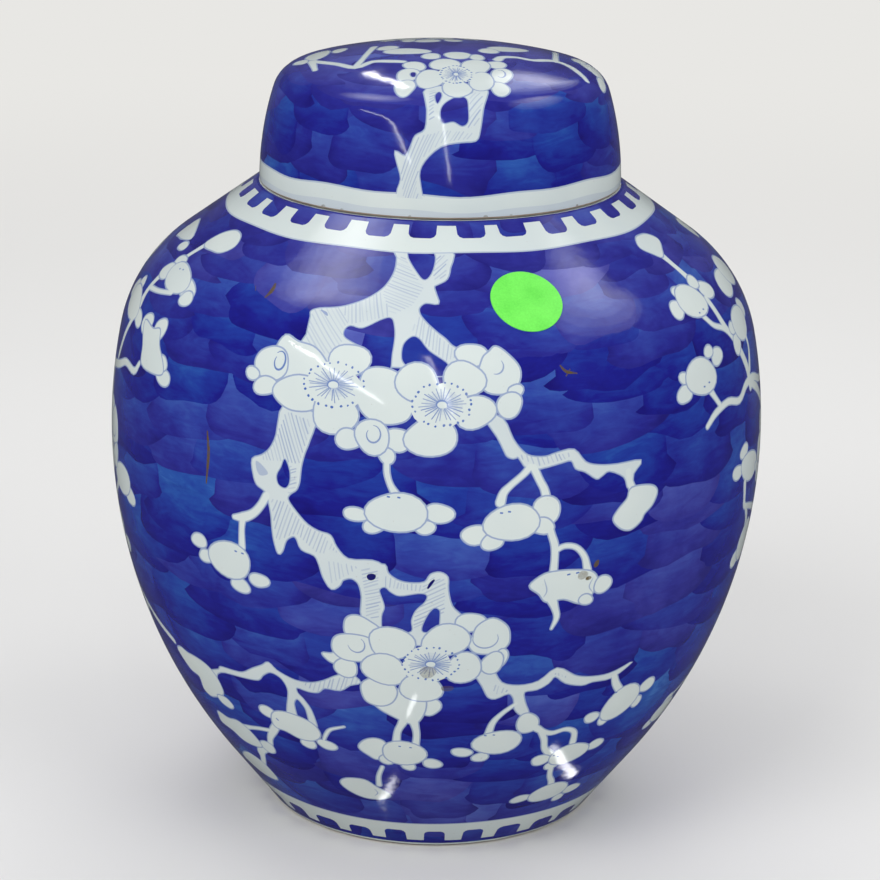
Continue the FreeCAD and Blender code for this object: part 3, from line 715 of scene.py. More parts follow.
def centre_bud(chart):
    """The bud that hangs in the middle."""
    petals(chart, (-12.7, 165.7, 2.2, 2.1, 0), (-9.8, 162, 1.7, 2.4, 0), (0.7, 167.4, 2.2, 3.4, 0),
           (-1.6, 162.4, 1.5, 2.6, 0))
    bud(chart, -6.1, 167.2, 4.8, 7.0, -6, dots=((-7.5, 172.7), (-5.8, 172.6)),
        stem=[(-7.9, 186), (-7.8, 181), (-7.2, 177), (-6.2, 173.4)])


def left_bud(chart):
    """The bud at the left end of the lower trunk's twig."""
    petals(chart, (-43.1, 144.6, 1.9, 2.3, 0), (-41.6, 139.4, 1.7, 2.2, 0),
           (-30.4, 135.4, 1.8, 2.6, 0), (-34.4, 131.6, 2.0, 2.5, 0))
    bud(chart, -36.4, 140.6, 4.7, 6.5, 0, dots=((-34.8, 144.6), (-33.4, 144.4)))


def lower_left(chart):
    """The branch from the lower flower to the left, with buds down to the foot."""
    chart.branch([(-14.5, 102), (-17, 101), (-20, 97.5), (-22.5, 95.6), (-25, 95.2), (-27, 96),
                 (-29.5, 98.2), (-31, 101), (-32.5, 99), (-35, 96.2), (-38, 92.6), (-41, 91.8),
                 (-44, 91.4), (-45, 89.5), (-48.4, 86.5), (-47, 84.2), (-46, 87), (-43.5, 89.4),
                 (-38, 90.4), (-34.5, 91.4), (-33, 94.4), (-31, 96.8), (-29, 95.4), (-28, 92),
                 (-28, 88), (-29.3, 80), (-29.6, 76), (-27.6, 76), (-27.4, 83.6), (-26.3, 86.6),
                 (-25, 83), (-24.8, 79), (-24.8, 74), (-23.4, 74), (-23.8, 82), (-25, 87),
                 (-26, 89.6), (-25.8, 92.2), (-23.5, 91.4), (-21.5, 91.8), (-20, 94.3),
                 (-17, 94.3), (-15, 97.3), (-13, 99)])
    chart.hatch([(-25, 95), (-22, 91.4), (-16, 94), (-12, 99), (-14, 103), (-20, 98)], lean=72,
                spacing=1.5)
    chart.ribbon([(-33.4, 70), (-35, 66), (-37.2, 60.5), (-38.4, 56), (-41, 51.4), (-43.6, 48.4),
                  (-45, 43), (-47, 38)], [2.6, 3.0, 2.0, 2.0, 2.4, 3.2, 2.0, 2.0])
    chart.ribbon([(-35.4, 65.2), (-39, 64.2), (-42, 62.8), (-44.6, 61.4)], [1.6, 1.3, 1.4, 2.2])
    petals(chart, (-34.6, 75.6, 2.1, 2.7, 0), (-26.7, 63.2, 1.6, 2.6, 0), (-22.2, 64.6, 2.0, 2.4, -10))
    chart.leaf([(-33, 76.4), (-30, 78), (-26, 76.6), (-23.7, 73.6), (-23.3, 69), (-25.3, 65.7),
                (-28.3, 65.2), (-31.5, 67.6), (-34, 68.4), (-34.2, 72.4)])
    chart.ribbon([(-22.6, 67.4), (-21.8, 70.4), (-20.5, 73.6), (-17.4, 76.2)], [0.8, 1.0, 0.9, 0.5])
    chart.leaf([(-59.5, 88.5), (-57.5, 91), (-55, 90.2), (-52, 90.2), (-49, 89), (-47, 85.5),
                (-46.5, 79), (-47.6, 75.6), (-50.4, 73), (-53, 71.6), (-54.6, 73.6), (-54, 80),
                (-57, 81.6)])
    chart.leaf([(-49.4, 74.2), (-46.6, 74.8), (-45.2, 71.8), (-46.6, 69.8), (-49, 71)])
    chart.leaf([(-42, 54), (-40, 56.6), (-38, 55.6), (-38.2, 51.6), (-40.5, 50.2)])
    chart.leaf([(-54.5, 60), (-53.4, 63), (-50, 62), (-46.5, 63.2), (-44, 61), (-42.3, 56),
                (-42.2, 52), (-45.5, 50.7), (-49, 51.2), (-51.5, 54.6), (-55, 56.2)])
    chart.leaf([(-58, 34), (-55, 39), (-51, 41.8), (-47, 39.5), (-45.5, 34), (-46, 29),
                (-50, 27.5), (-55, 29)])
    chart.stroke([(-33, 73.4), (-32.5, 72.4)], 0.8, "line", 0.8, taper=0.8)


def lower_middle(chart):
    """The bud under the lower flower, and one more left of it above the foot."""
    chart.ribbon([(-4.6, 86), (-5.6, 81), (-6.6, 76.6), (-7, 71)], [4.4, 2.6, 2.0, 2.4])
    chart.ribbon([(-4, 86), (-3.2, 80), (-2.9, 75), (-3.2, 69)], [4.4, 2.4, 1.9, 2.2])
    chart.leaf([(-15, 66), (-13.6, 70.2), (-11.2, 71.8), (-9.4, 70), (-9.6, 63.6), (-11.4, 60.4),
                (-13, 62)])
    petals(chart, (-9.4, 60.6, 1.6, 2.4, 20), (0.3, 59.4, 2.1, 2.2, -10), (-4.8, 57.4, 1.3, 2.2, 0))
    bud(chart, -5.6, 64.8, 4.8, 6.0, -4, dots=((-6.4, 68.5), (-4.2, 68.1)))
    chart.leaf([(-22, 42), (-20, 45.6), (-15.6, 46.3), (-13, 42.4), (-10.3, 38.6), (-10.5, 36),
                (-13, 34), (-17, 34), (-20.5, 37.4)])
    chart.stroke([(-13.6, 41), (-13, 38.4), (-14, 36)], 0.5, "line", 0.5)
    chart.ribbon([(-12.2, 44), (-11.8, 50), (-10.6, 56)], [1.6, 1.2, 1.0])


def lower_right(chart):
    """The branch from the lower flower to the right, with four buds."""
    chart.branch([(7.6, 105), (9, 99), (10.2, 94), (11.6, 92.8), (14, 94.8), (15.2, 92), (15.7, 87),
                 (17.4, 83.4), (18.6, 84.4), (17.4, 90), (17, 94.8), (19.4, 95.4), (21.4, 97.6),
                 (22.6, 100.4), (25, 96.6), (28.6, 94.2), (31, 94.8), (35.4, 94.6), (39.4, 99.6),
                 (36, 97.4), (33, 96.6), (29, 97.6), (26.4, 99.4), (22.6, 104), (19.4, 99),
                 (15.6, 98), (12.4, 100), (10.4, 106)])
    chart.hatch([(10.6, 100), (11.4, 94.6), (15, 95.8), (12, 99)], lean=80, spacing=1.4)
    chart.hatch([(19, 97.8), (22.6, 102.6), (27, 97.6), (28.6, 95.4), (22.4, 101)], lean=96, spacing=1.4)
    petals(chart, (18.9, 79, 2.0, 5.4, 10))
    chart.ribbon([(15.8, 89.6), (13.4, 85.4), (11.8, 81), (11.2, 75)], [1.2, 1.4, 1.9, 2.4])
    petals(chart, (6.3, 65.8, 2.3, 1.9, -14), (10.3, 62.6, 1.6, 2.4, 0))
    bud(chart, 13.4, 70.2, 4.8, 6.2, 10, dots=((10.7, 74.3), (12.4, 74.4)))
    chart.ribbon([(19.4, 78), (21, 76), (22.8, 73.4), (25, 71.8), (28, 72.6), (30.4, 70), (31.2, 64)],
                 [2.4, 2.6, 2.0, 1.8, 1.6, 1.8, 2.4])
    chart.ribbon([(22.3, 74), (23.6, 69), (24.5, 63.6), (26.4, 59.6)], [2.2, 2.0, 2.0, 2.6])
    petals(chart, (24.6, 56.8, 2.3, 2.6, 0), (28, 52, 1.5, 2.2, 0), (38.4, 59, 2.0, 2.6, 20))
    bud(chart, 31.6, 57.2, 4.8, 5.6, 12, dots=((27.6, 58), (28.8, 57)))
    chart.ribbon([(35.8, 95), (36.8, 91), (38.6, 86.6)], [2.2, 2.6, 2.8])
    petals(chart, (46.6, 84.6, 1.9, 3.2, 20), (33.6, 76, 1.8, 2.2, 0), (37.2, 73, 1.4, 2.4, 0),
           (45.2, 77.4, 1.4, 2.6, 0))
    bud(chart, 40.2, 80, 4.8, 7.4, 20, dots=((36.8, 84.6), (37.8, 86)))
    chart.ribbon([(28.4, 50), (29.2, 45), (30.6, 41), (31.8, 36)], [1.8, 1.6, 2.0, 2.6])
    petals(chart, (24, 31.6, 2.6, 2.4, 0), (40.6, 30, 3.0, 2.6, 0), (37.4, 25.8, 1.6, 2.4, 0))
    bud(chart, 32.2, 32.4, 5.4, 6.2, 0)


def right_side(chart):
    """Twigs and buds from the front's right edge round to the side."""
    chart.ribbon([(61.4, 252), (61.9, 245), (62.4, 238)], [3.6, 2.4, 3.0])
    chart.leaf([(56.6, 256.6), (58.4, 260.4), (61.4, 261), (64.6, 260), (66.8, 256.4), (64, 252.6),
                (61, 249.6), (58.8, 252.4)])
    petals(chart, (51.8, 228.7, 1.9, 3.4, 0), (55.4, 234.2, 2.0, 2.6, 0), (65.4, 231, 2.6, 3.6, 0),
           (62.8, 235.8, 1.8, 2.8, 0))
    chart.ribbon([(58.6, 223), (60.6, 218.6), (63.6, 216), (66, 212.4)], [2.0, 1.8, 1.8, 2.2])
    chart.ribbon([(63.2, 228), (63.8, 222), (64.6, 216), (66.4, 211), (69, 203), (70.8, 197),
                  (71.6, 190)], [2.6, 2.4, 2.8, 2.6, 3.0, 3.4, 3.4])
    bud(chart, 57.8, 229.8, 5.0, 6.2, -10, dots=((58, 224.6), (59.8, 225.2)))
    petals(chart, (67.6, 208, 1.8, 3.6, 0), (77.4, 217, 2.0, 3.6, 0), (67.4, 214, 1.2, 2.4, 0))
    bud(chart, 72.6, 213.6, 4.6, 5.8, 0)
    chart.ribbon([(73.4, 209), (73.8, 203), (72.2, 196)], [1.8, 1.6, 2.2])
    petals(chart, (58.2, 208, 1.9, 3.0, 0), (55.8, 210.8, 1.3, 2.2, 0), (46.9, 199.2, 1.8, 3.2, 0),
           (47.2, 204.8, 1.2, 2.0, 0))
    bud(chart, 52.2, 203.3, 4.4, 6.6, 0, dots=((52.6, 199.4), (54.2, 200.2)),
        stem=[(57.4, 189.6), (55.6, 194), (54, 198)])
    chart.ribbon([(52.4, 185), (55.4, 188.6), (60, 190.4), (64.8, 188.4), (69, 192), (74, 192),
                  (80, 188), (86, 186)], [1.6, 2.2, 2.2, 2.2, 2.6, 2.6, 2.4, 2.0])
    chart.ribbon([(71, 192), (77, 186), (82, 178), (86, 168)], [2.8, 3.2, 3.0, 4.0])
    petals(chart, (63.4, 161.8, 2.0, 2.7, 0), (66.4, 168.2, 1.9, 2.6, 0), (78.4, 158.6, 2.0, 3.0, 0))
    bud(chart, 70.4, 160.4, 5.6, 5.2, -8)
    chart.ribbon([(67.6, 155.6), (68.2, 150), (69, 145.6), (73, 143), (80, 138)],
                 [2.6, 2.2, 2.2, 2.0, 2.6])
    chart.ribbon([(70, 144.6), (72, 139), (72.6, 133)], [1.8, 2.4, 3.4])
    petals(chart, (69.4, 124.4, 2.4, 3.8, 0), (79.6, 127, 2.2, 3.6, 0))
    bud(chart, 74, 128.6, 4.8, 7.6, 10)
    petals(chart, (82, 98, 4.0, 6.4, 0), (76.8, 94, 2.2, 3.2, 0), (87, 92.4, 2.2, 3.4, 0))
    chart.ribbon([(80.6, 138), (83, 120), (82.6, 104)], [2.2, 2.6, 2.4])
    chart.ribbon([(82, 92), (78, 80), (72, 72), (64, 68)], [2.4, 2.4, 2.2, 1.6])
    petals(chart, (62, 66, 2.2, 3.2, 0), (58.4, 56.6, 2.0, 2.8, 0))
    bud(chart, 62.6, 60.4, 4.6, 5.8, 0)
    petals(chart, (76.6, 228.4, 4.6, 5.4, 0))
    bud(chart, 84, 230, 5.0, 6.4, 0)


def left_side(chart):
    """Twigs and buds from the front's left edge round to the side."""
    chart.ribbon([(-66.6, 250), (-67.8, 245), (-68.8, 240)], [2.6, 2.2, 2.4])
    chart.leaf([(-67.6, 250.6), (-65.6, 256.4), (-61.6, 259.8), (-57.6, 258.6), (-56, 254),
                (-58.4, 249.6), (-62.4, 248.8), (-66, 248.6)])
    chart.ribbon([(-70.6, 233), (-72, 228), (-72.8, 222), (-72.4, 216)], [3.6, 2.6, 2.8, 3.6])
    petals(chart, (-68.6, 238.4, 2.4, 3.2, 0), (-70.4, 233, 2.8, 3.4, 0), (-57.8, 231.4, 3.0, 3.4, -20),
           (-56.2, 228, 2.2, 2.6, 0))
    bud(chart, -64, 233.4, 5.4, 5.8, -14, dots=((-66, 236.4), (-64.6, 236.8)))
    chart.ribbon([(-71.6, 224.6), (-67, 225.6), (-62, 227.6)], [1.6, 1.4, 1.6])
    petals(chart, (-70.4, 213, 2.4, 2.6, -20), (-78.6, 222.4, 1.8, 3.0, 0), (-82, 218.6, 2.6, 3.4, 0))
    bud(chart, -77, 215.6, 5.6, 5.4, -8)
    petals(chart, (-65.2, 213.6, 2.2, 3.6, 0), (-59.4, 214.2, 1.9, 4.2, 0), (-54.6, 198.8, 2.4, 2.6, 0),
           (-55.8, 203.4, 1.7, 2.8, 0))
    chart.leaf([(-66.4, 214), (-62, 213), (-59.4, 214), (-58, 209), (-55.6, 204), (-55, 200),
                (-58, 198.6), (-63, 199.4), (-64, 206)])
    chart.ribbon([(-64, 199), (-66, 195), (-71, 195.6), (-76, 192), (-84, 188)],
                 [1.4, 2.2, 2.2, 2.6, 2.6])
    chart.ribbon([(-73, 212), (-75.4, 204), (-78, 194)], [2.4, 2.2, 2.4])
    chart.leaf([(-88, 252), (-82, 251.4), (-76, 247.6), (-80, 244.6), (-84, 243.4), (-88, 243)])
    petals(chart, (-75.4, 243.4, 2.2, 2.2, 0))
    petals(chart, (-66, 147.6, 2.2, 3.4, 0), (-76, 156, 2.4, 3.6, 0))
    bud(chart, -70.6, 151.4, 5.0, 5.8, 0)
    chart.ribbon([(-74.6, 156), (-78, 166), (-81, 178), (-82, 188)], [2.4, 2.4, 2.4, 3.0])
    petals(chart, (-80, 128, 4.6, 7.2, 0), (-74.4, 123, 2.2, 3.2, 0), (-86, 133, 2.4, 3.6, 0))
    chart.ribbon([(-74, 148), (-78, 141), (-80, 134)], [2.0, 2.0, 2.6])
    chart.ribbon([(-81, 121), (-78, 110), (-70, 100), (-60, 92)], [2.4, 2.4, 2.6, 2.4])
    petals(chart, (-77, 71, 4.6, 6.0, 0), (-71.4, 66, 2.2, 2.8, 0), (-83, 76, 2.4, 3.2, 0))
    chart.ribbon([(-76, 76), (-75, 88), (-72, 100)], [2.4, 2.0, 2.2])


def border_teeth(count, first, uneven, seed):
    """Middles of the teeth round the jar, slightly uneven as painted by hand."""
    shake = random.Random(seed)
    return [first + 360.0 * i / count + shake.uniform(-uneven, uneven) for i in range(count)]


def tooth(x, base, tip, half):
    """One rounded tooth from its base to its tip, wider at the base."""
    corner = math.copysign(TOOTH_ROUND, tip - base)
    side = [(1.06, base), (1, tip - corner), (0.86, tip - 0.35 * corner), (0.6, tip)]
    return ([(x + half * wide, y) for wide, y in side]
            + [(x - half * wide, y) for wide, y in side[::-1]])


def band(low, high, wave=0.0, turns=0):
    """A strip right round the body, with gently wavering edges."""
    xs = np.linspace(-181, 181, 181)
    lows = [(x, low + wave * math.sin(math.radians(0.5 * turns * x))) for x in xs]
    highs = [(x, high + 0.7 * wave * math.sin(math.radians(0.35 * turns * x))) for x in xs]
    return lows + highs[::-1]


def borders(chart):
    """White bands with a row of blue teeth: one under the lid and one above the foot."""
    top = BODY.length + 1
    shake = random.Random(5)
    chart.add_round(band(264.3, top, 0.35, 22), "line", BAND_EDGE)
    chart.add_round(band(264.9, top, 0.35, 22), "white")
    chart.add_round(band(277.0, top), "wash")
    for x in border_teeth(28, -4.4, 0.5, 8):
        tip, half = 271.0 + shake.uniform(-0.5, 0.5), shake.uniform(3.3, 4.0)
        chart.add(tooth(x, 277.5, tip, half), "wash")
    chart.add_round(band(-1, 17.3, 0.4, 14), "line", BAND_EDGE)
    chart.add_round(band(-1, 16.7, 0.4, 14), "white")
    chart.add_round(band(2.2, 4.4), "wash")
    for x in border_teeth(29, 1.5, 0.7, 9):
        tip, half = 10.9 + shake.uniform(-0.8, 0.8), shake.uniform(3.2, 4.2)
        chart.add(tooth(x, 4.0, tip, half), "wash")


def stains(chart):
    """Kiln specks and brown flaws on the front, as spots and short scratches."""
    for x, y, across, up, lean, strength in (
            (25.2, 141.4, 1.0, 1.6, 30, 0.5), (26.3, 139.9, 0.55, 0.8, 0, 0.9),
            (-0.8, 105.4, 1.6, 2.4, 30, 0.45), (2.7, 98.2, 1.3, 1.2, 0, 0.55),
            (27.6, 145.0, 0.45, 1.5, -35, 0.9)):
        chart.add(chart.oval(x, y, across, up, lean), "stain", strength)
    for points, width, strength in (
            ([(-41.2, 186), (-40.6, 178), (-40.9, 167)], 1.4, 1.0),
            ([(21.6, 217), (22.6, 214.6), (24.6, 213.6)], 1.1, 1.0),
            ([(22.4, 213), (23.4, 215.4)], 1.0, 0.9),
            ([(-36.2, 244), (-35.8, 240.6), (-36.4, 237)], 1.7, 0.9),
            ([(-40.4, 241), (-39.6, 239)], 0.9, 0.6)):
        chart.stroke(points, width, "stain", strength)


def paint_body():
    """The same spray on the front and the back, and one more blossom at each side."""
    cobalt_ground(body, 23, 2, 270, 13.0, 41, body_violet_and_sheen)
    for body.turn in (0.0, 180.0):
        for motif in (right_side, left_side, upper_trunk, lower_trunk, middle_trunk, right_branch,
                      lower_left, lower_right, flower_a, flower_b, flower_c, middle_right_buds,
                      centre_bud, left_bud, lower_middle):
            motif(body)
    body.lift = 48.0
    for body.turn in (94.0, 274.0):
        flower_c(body)
    body.turn, body.lift = 0.0, 0.0
    borders(body)
    stains(body)


def lid_violet_and_sheen(x, y):
    """The wash on the lid is thinner and more violet towards the middle of its top, partly as painted
    sheen of light from above.
    """
    return 0.75 * max(0.0, 1.25 + y / 62)


class Polar:
    """The lid's chart as degrees round it and, as negative numbers, millimetres from its middle."""

    wraps = False
    metric = staticmethod(lambda x, y: max(8.0, -y) * math.pi / 180)

    def placed(self, points):
        return list(points)

    def add(self, outline, *paint):
        lid.add([(-p[1] * math.sin(math.radians(p[0])), p[1] * math.cos(math.radians(p[0])))
                 for p in outline], *paint)


class Turned:
    """The lid's chart turned round its middle, so that a spray can be painted twice."""

    def __init__(self, chart, degrees):
        self.chart, self.turn = chart, math.radians(degrees)

    def moved(self, outline):
        c, s = math.cos(self.turn), math.sin(self.turn)
        return [(p[0] * c - p[1] * s, p[0] * s + p[1] * c) for p in outline]

    def add(self, outline, *paint):
        self.chart.add(self.moved(outline), *paint)

    def __getattr__(self, name):
        method = getattr(type(self.chart), name, None)
        if callable(method):
            return lambda *a, **k: method(self, *a, **k)
        return getattr(self.chart, name)


def lid_rim(reach, pull, *paint):
    """Paints from a wavering ring out to the chart's edge, as a ring of strips."""
    count, owner = 120, len(lid.paint)
    turns = np.linspace(0, 2 * math.pi, count + 1)
    near = [reach + pull + 0.5 * math.sin(5 * a + 1) + 0.35 * math.sin(12 * a) for a in turns]
    far = LID.length + 10
    for i in range(count):
        corners = [(r * math.sin(a), -r * math.cos(a)) for r, a in
                   ((near[i], turns[i]), (near[i + 1], turns[i + 1]), (far, turns[i + 1]),
                    (far, turns[i]))]
        lid.lay(corners, owner)
    lid.paint.append(paint)


def lid_twigs(chart):
    """Twigs that run from the front flower to buds at the sides of the lid's top."""
    chart.ribbon([(-14, -23), (-18, -21.6), (-25, -20), (-31, -25), (-38, -17), (-44, -10), (-50, -2)],
                 [2.2, 2.8, 2.6, 2.4, 2.2, 2.4, 3.0])
    chart.ribbon([(-31, -24), (-29, -16), (-27, -6), (-25, 5)], [2.4, 1.8, 1.8, 2.2])
    chart.ribbon([(-46, -20), (-47, -12), (-48, -2)], [1.4, 2.0, 3.4])
    petals(chart, (-46, 6, 4.2, 9.0, -14), (-38, 8, 2.4, 5.0, 0), (-52, -2, 2.6, 4.0, 0))
    chart.ribbon([(20, -17), (22, -12), (27, -9.6), (33, -10), (38, -6), (42, -4), (47, -8), (53, -21)],
                 [3.0, 2.4, 2.2, 2.4, 2.6, 2.6, 2.4, 1.6])
    chart.ribbon([(41.6, -5), (42, 6), (42.4, 20)], [2.0, 1.6, 1.6])
    petals(chart, (56, 0, 3.6, 9.4, 18), (51, 9, 2.4, 5.0, 0), (60, -12, 2.4, 5.0, 0))
    petals(chart, (-13, -8, 8.0, 4.8, -10), (-20, 0, 4.0, 3.6, 0), (24, 4, 8.0, 4.6, 40),
           (17, -4, 3.6, 4.0, 0))


def lid_spray(chart):
    """The trunk that climbs the lid's side to a flower on its top."""
    chart.branch([(-20, -96), (-21, -90), (-18, -85), (-18.6, -80), (-19, -75), (-15, -77.5),
                 (-12, -74), (-10, -71), (-6, -69), (-5, -62), (-5, -50), (12, -48), (16, -50),
                 (16, -54), (15, -60), (15, -68), (14, -71.6), (8, -73), (0, -75), (-7, -80),
                 (-9.6, -85), (-9, -96)])
    chart.hatch([(-18, -94), (-17.6, -80), (-14, -76), (-9, -71), (4, -69), (13, -69), (12, -71.6),
                 (0, -74), (-8, -79), (-11, -85), (-10, -94)], lean=58, spacing=1.3)
    chart.hatch([(10, -68), (10, -52), (15, -52), (14.4, -66)], lean=60, spacing=1.3)
    chart.hatch([(-4.6, -66), (-4.4, -52), (-1.6, -52), (-2.4, -66)], lean=30, spacing=1.3)
    chart.hole(circled([(-1.4, -59.6), (-2.2, -56), (-0.8, -53.4), (0, -56)]))
    chart.hole(circled([(3.8, -57.4), (6.2, -55.8), (8.8, -57), (9.6, -61), (10, -65.6), (8, -67.4),
                        (4.6, -66.2), (0.6, -66.8), (-0.2, -63), (1, -60)]))
    petals(chart, (-4, -16.6, 3.4, 3.6, 0), (5.6, -14.6, 5.0, 4.4, 0), (12.6, -16, 2.6, 3.4, 0),
           (19.6, -23.6, 3.2, 4.4, 0), (-9.8, -28.6, 3.8, 4.8, 20), (-12, -37.8, 4.0, 6.2, 0),
           (-13, -49, 3.4, 6.4, 0), (21.4, -34.6, 3.6, 7.4, 0), (20.8, -47.4, 3.4, 5.0, 0))
    swirl(chart, 21, -33.4, 1.9, 4.2, 120, -0.7, 0.7, 0.7, 0.8)
    chart.hole(chart.oval(-10.2, -37.6, 1.0, 2.2))
    petals(chart, (1, -26.6, 5.0, 6.4, 0), (12, -28, 5.2, 8.0, 0), (5.4, -50, 5.6, 5.8, 0),
           (-4.2, -41.8, 4.6, 9.0, 0), (14.2, -42.4, 4.4, 8.0, 0))
    chart.add(chart.oval(5, -37.6, 6.4, 9.4), "white")
    stamens(chart, 5, -37, 5.6, 8.6, 47)


def paint_lid():
    """Wash and a white rim, then the twigs once and the spray in front and behind."""
    cobalt_ground(Polar(), 17, -100, -42, 11.0, 77, lid_violet_and_sheen)
    cobalt_ground(Polar(), 8, -46, -6, 11.0, 78, lid_violet_and_sheen)
    lid_rim(92.4, -0.6, "line", BAND_EDGE)
    lid_rim(92.4, 0.0, "white")
    lid_twigs(lid)
    for turn in (0.0, 180.0):
        lid_spray(Turned(lid, turn))
    lid_rim(93.6, 0.0, "white")
    lid_rim(97.6, 0.0, "line", 0.16)
    for turn, size in ((-38, 0.9), (-31, 0.6), (-9, 0.5), (14, 0.8), (22, 0.5), (47, 0.7),
                       (130, 0.8)):
        x, y = (LID_FLAWS * f(math.radians(turn)) for f in (math.sin, math.cos))
        lid.add(lid.oval(x, -y, 1.5 * size, 0.8 * size, turn), "stain", 0.5)


paint_body()
paint_lid()

# ---------------------------------------------------------------------------
# Meshes. The painted outlines are cut into the surface, so that every face
# has one colour, and the surface is closed with its lining and foot.
# ---------------------------------------------------------------------------
BODY_STRETCH = 2.0          # chart degrees to flat units, near millimetres
SAME = 0.002                # chart points closer than this are one
MESH_STEP = 2.5             # distance between the rows of the grid under the painting
MARK_FADE = 18.0            # height over which a brush mark grows lighter
PLAIN_LIGHT, PLAIN_VIOLET = 0.4, 0.2        # the wash where no brush mark lies

# the baked picture's map: the wall in two rows, each a little over half a turn wide
ROW_REACH, ROW_HEIGHT = 93.0, 0.445
FRONT_ROW, BACK_ROW = 0.005, 0.465
STRIP_ROWS = (0.92, 0.995)


def winding(points, outline):
    """How often the outline runs round each point, so that a crossed outline stays whole."""
    start, end = np.roll(outline, 1, 0), outline
    x, y = points[:, 0, None], points[:, 1, None]
    side = ((end[:, 0] - start[:, 0]) * (y - start[:, 1])
            - (x - start[:, 0]) * (end[:, 1] - start[:, 1]))
    rising = (start[:, 1] <= y) & (end[:, 1] > y) & (side > 0)
    falling = (start[:, 1] > y) & (end[:, 1] <= y) & (side < 0)
    return rising.sum(1) - falling.sum(1)


def cut_chart(chart, corners, grid, lines, stretch):
    """Triangles of the chart with the list of shapes that cover each one."""
    points, faces, edges = [], [], []

    def place(outline):
        first = len(points)
        points.extend(Vector((p[0] * stretch, p[1])) for p in outline)
        return list(range(first, len(points)))

    faces.append(place(corners))
    for outline in chart.outlines:
        faces.append(place(outline))
    for line in lines:
        ids = place(line)
        edges.extend(zip(ids[:-1], ids[1:]))
    place(grid)
    verts, _, tris, _, _, origin = delaunay_2d_cdt(points, edges, faces, 0, 1e-4, True)
    flat = np.array([(v[0] / stretch, v[1]) for v in verts])
    kept = [tuple(tri) for tri, over in zip(tris, origin) if 0 in over and len(tri) == 3]
    middles = flat[np.array(kept)].mean(1)
    order = np.argsort(middles[:, 1])
    middles = middles[order]
    covers = [set() for _ in kept]
    for outline, owner in zip(chart.outlines, chart.owner):
        outline = np.array(outline)
        first, last = np.searchsorted(middles[:, 1], (outline[:, 1].min(), outline[:, 1].max()))
        near = middles[first:last]
        left, right = outline[:, 0].min(), outline[:, 0].max()
        numbers = np.nonzero((near[:, 0] > left) & (near[:, 0] < right))[0] + first
        if len(numbers) == 0:
            continue
        for number in numbers[winding(middles[numbers], outline) != 0]:
            covers[order[number]].add(owner)
    return flat, kept, [sorted(c) for c in covers]


def mark_shade(paint, x, y, wraps):
    """How light the wash is at a point of a brush mark: 0 dark, 1 light."""
    cx, cy, across, deep, tilt, tone = paint[1:7]
    if not wraps:
        x, y = math.degrees(math.atan2(x, -y)), -math.hypot(x, y)
    dx = (x - cx + 180) % 360 - 180
    u = max(-1.0, min(1.0, dx / across))
    edge = cy - deep * max(0.0, 1 - abs(u) ** 2.5) ** 0.4 + tilt * u
    above = max(0.0, min(1.0, (y - edge) / MARK_FADE))
    light = 0.22 + 0.44 * above ** 0.8 - 0.1 * u ** 6
    return max(0.0, min(1.0, light + tone))


def colours(chart, flat, tris, covers):
    """Corner colours: white, line, lightness of the wash, violet with painted sheen; and stain, ink, bare
    clay.
    """
    paint_layer = np.zeros((len(tris), 3, 4))
    flaw_layer = np.zeros((len(tris), 3, 4))
    flaw_layer[:, :, 3] = 1
    for number, (tri, over) in enumerate(zip(tris, covers)):
        white, line, ink, stain, mark = 0.0, 0.0, 0.0, 0.0, None
        for owner in over:
            paint = chart.paint[owner]
            kind = paint[0]
            if kind == "mark":
                mark = paint
            elif kind == "white":
                white, line, ink = 1.0, 0.0, 0.0
            elif kind == "line":
                line = max(line, paint[1]) if white else paint[1]
            elif kind == "hatch":
                line = max(line, paint[1]) if white else line
            elif kind == "rim":
                line = line if white else max(line, paint[1])
            elif kind == "wash":
                white, line = 0.0, 0.0
            elif kind == "ink":
                ink = 1.0
            elif kind == "stain":
                stain = paint[1]
        for corner, vertex in enumerate(tri):
            light, violet_and_sheen = PLAIN_LIGHT, PLAIN_VIOLET
            if mark:
                light, violet_and_sheen = mark_shade(mark, *flat[vertex], chart.wraps), mark[-1]
            paint_layer[number, corner] = (white, line, light, violet_and_sheen)
        flaw_layer[number, :, 0] = stain
        flaw_layer[number, :, 1] = ink
    return paint_layer, flaw_layer


def revolved(profile, azimuth, s):
    """Points and outward normals of the outer wall."""
    r, z = profile.at(s)
    dr, dz = profile.slope(s)
    a = np.radians(azimuth)
    points = np.stack([r * np.sin(a), -r * np.cos(a), z], 1)
    normals = np.stack([dz * np.sin(a), -dz * np.cos(a), -dr], 1)
    return points, normals


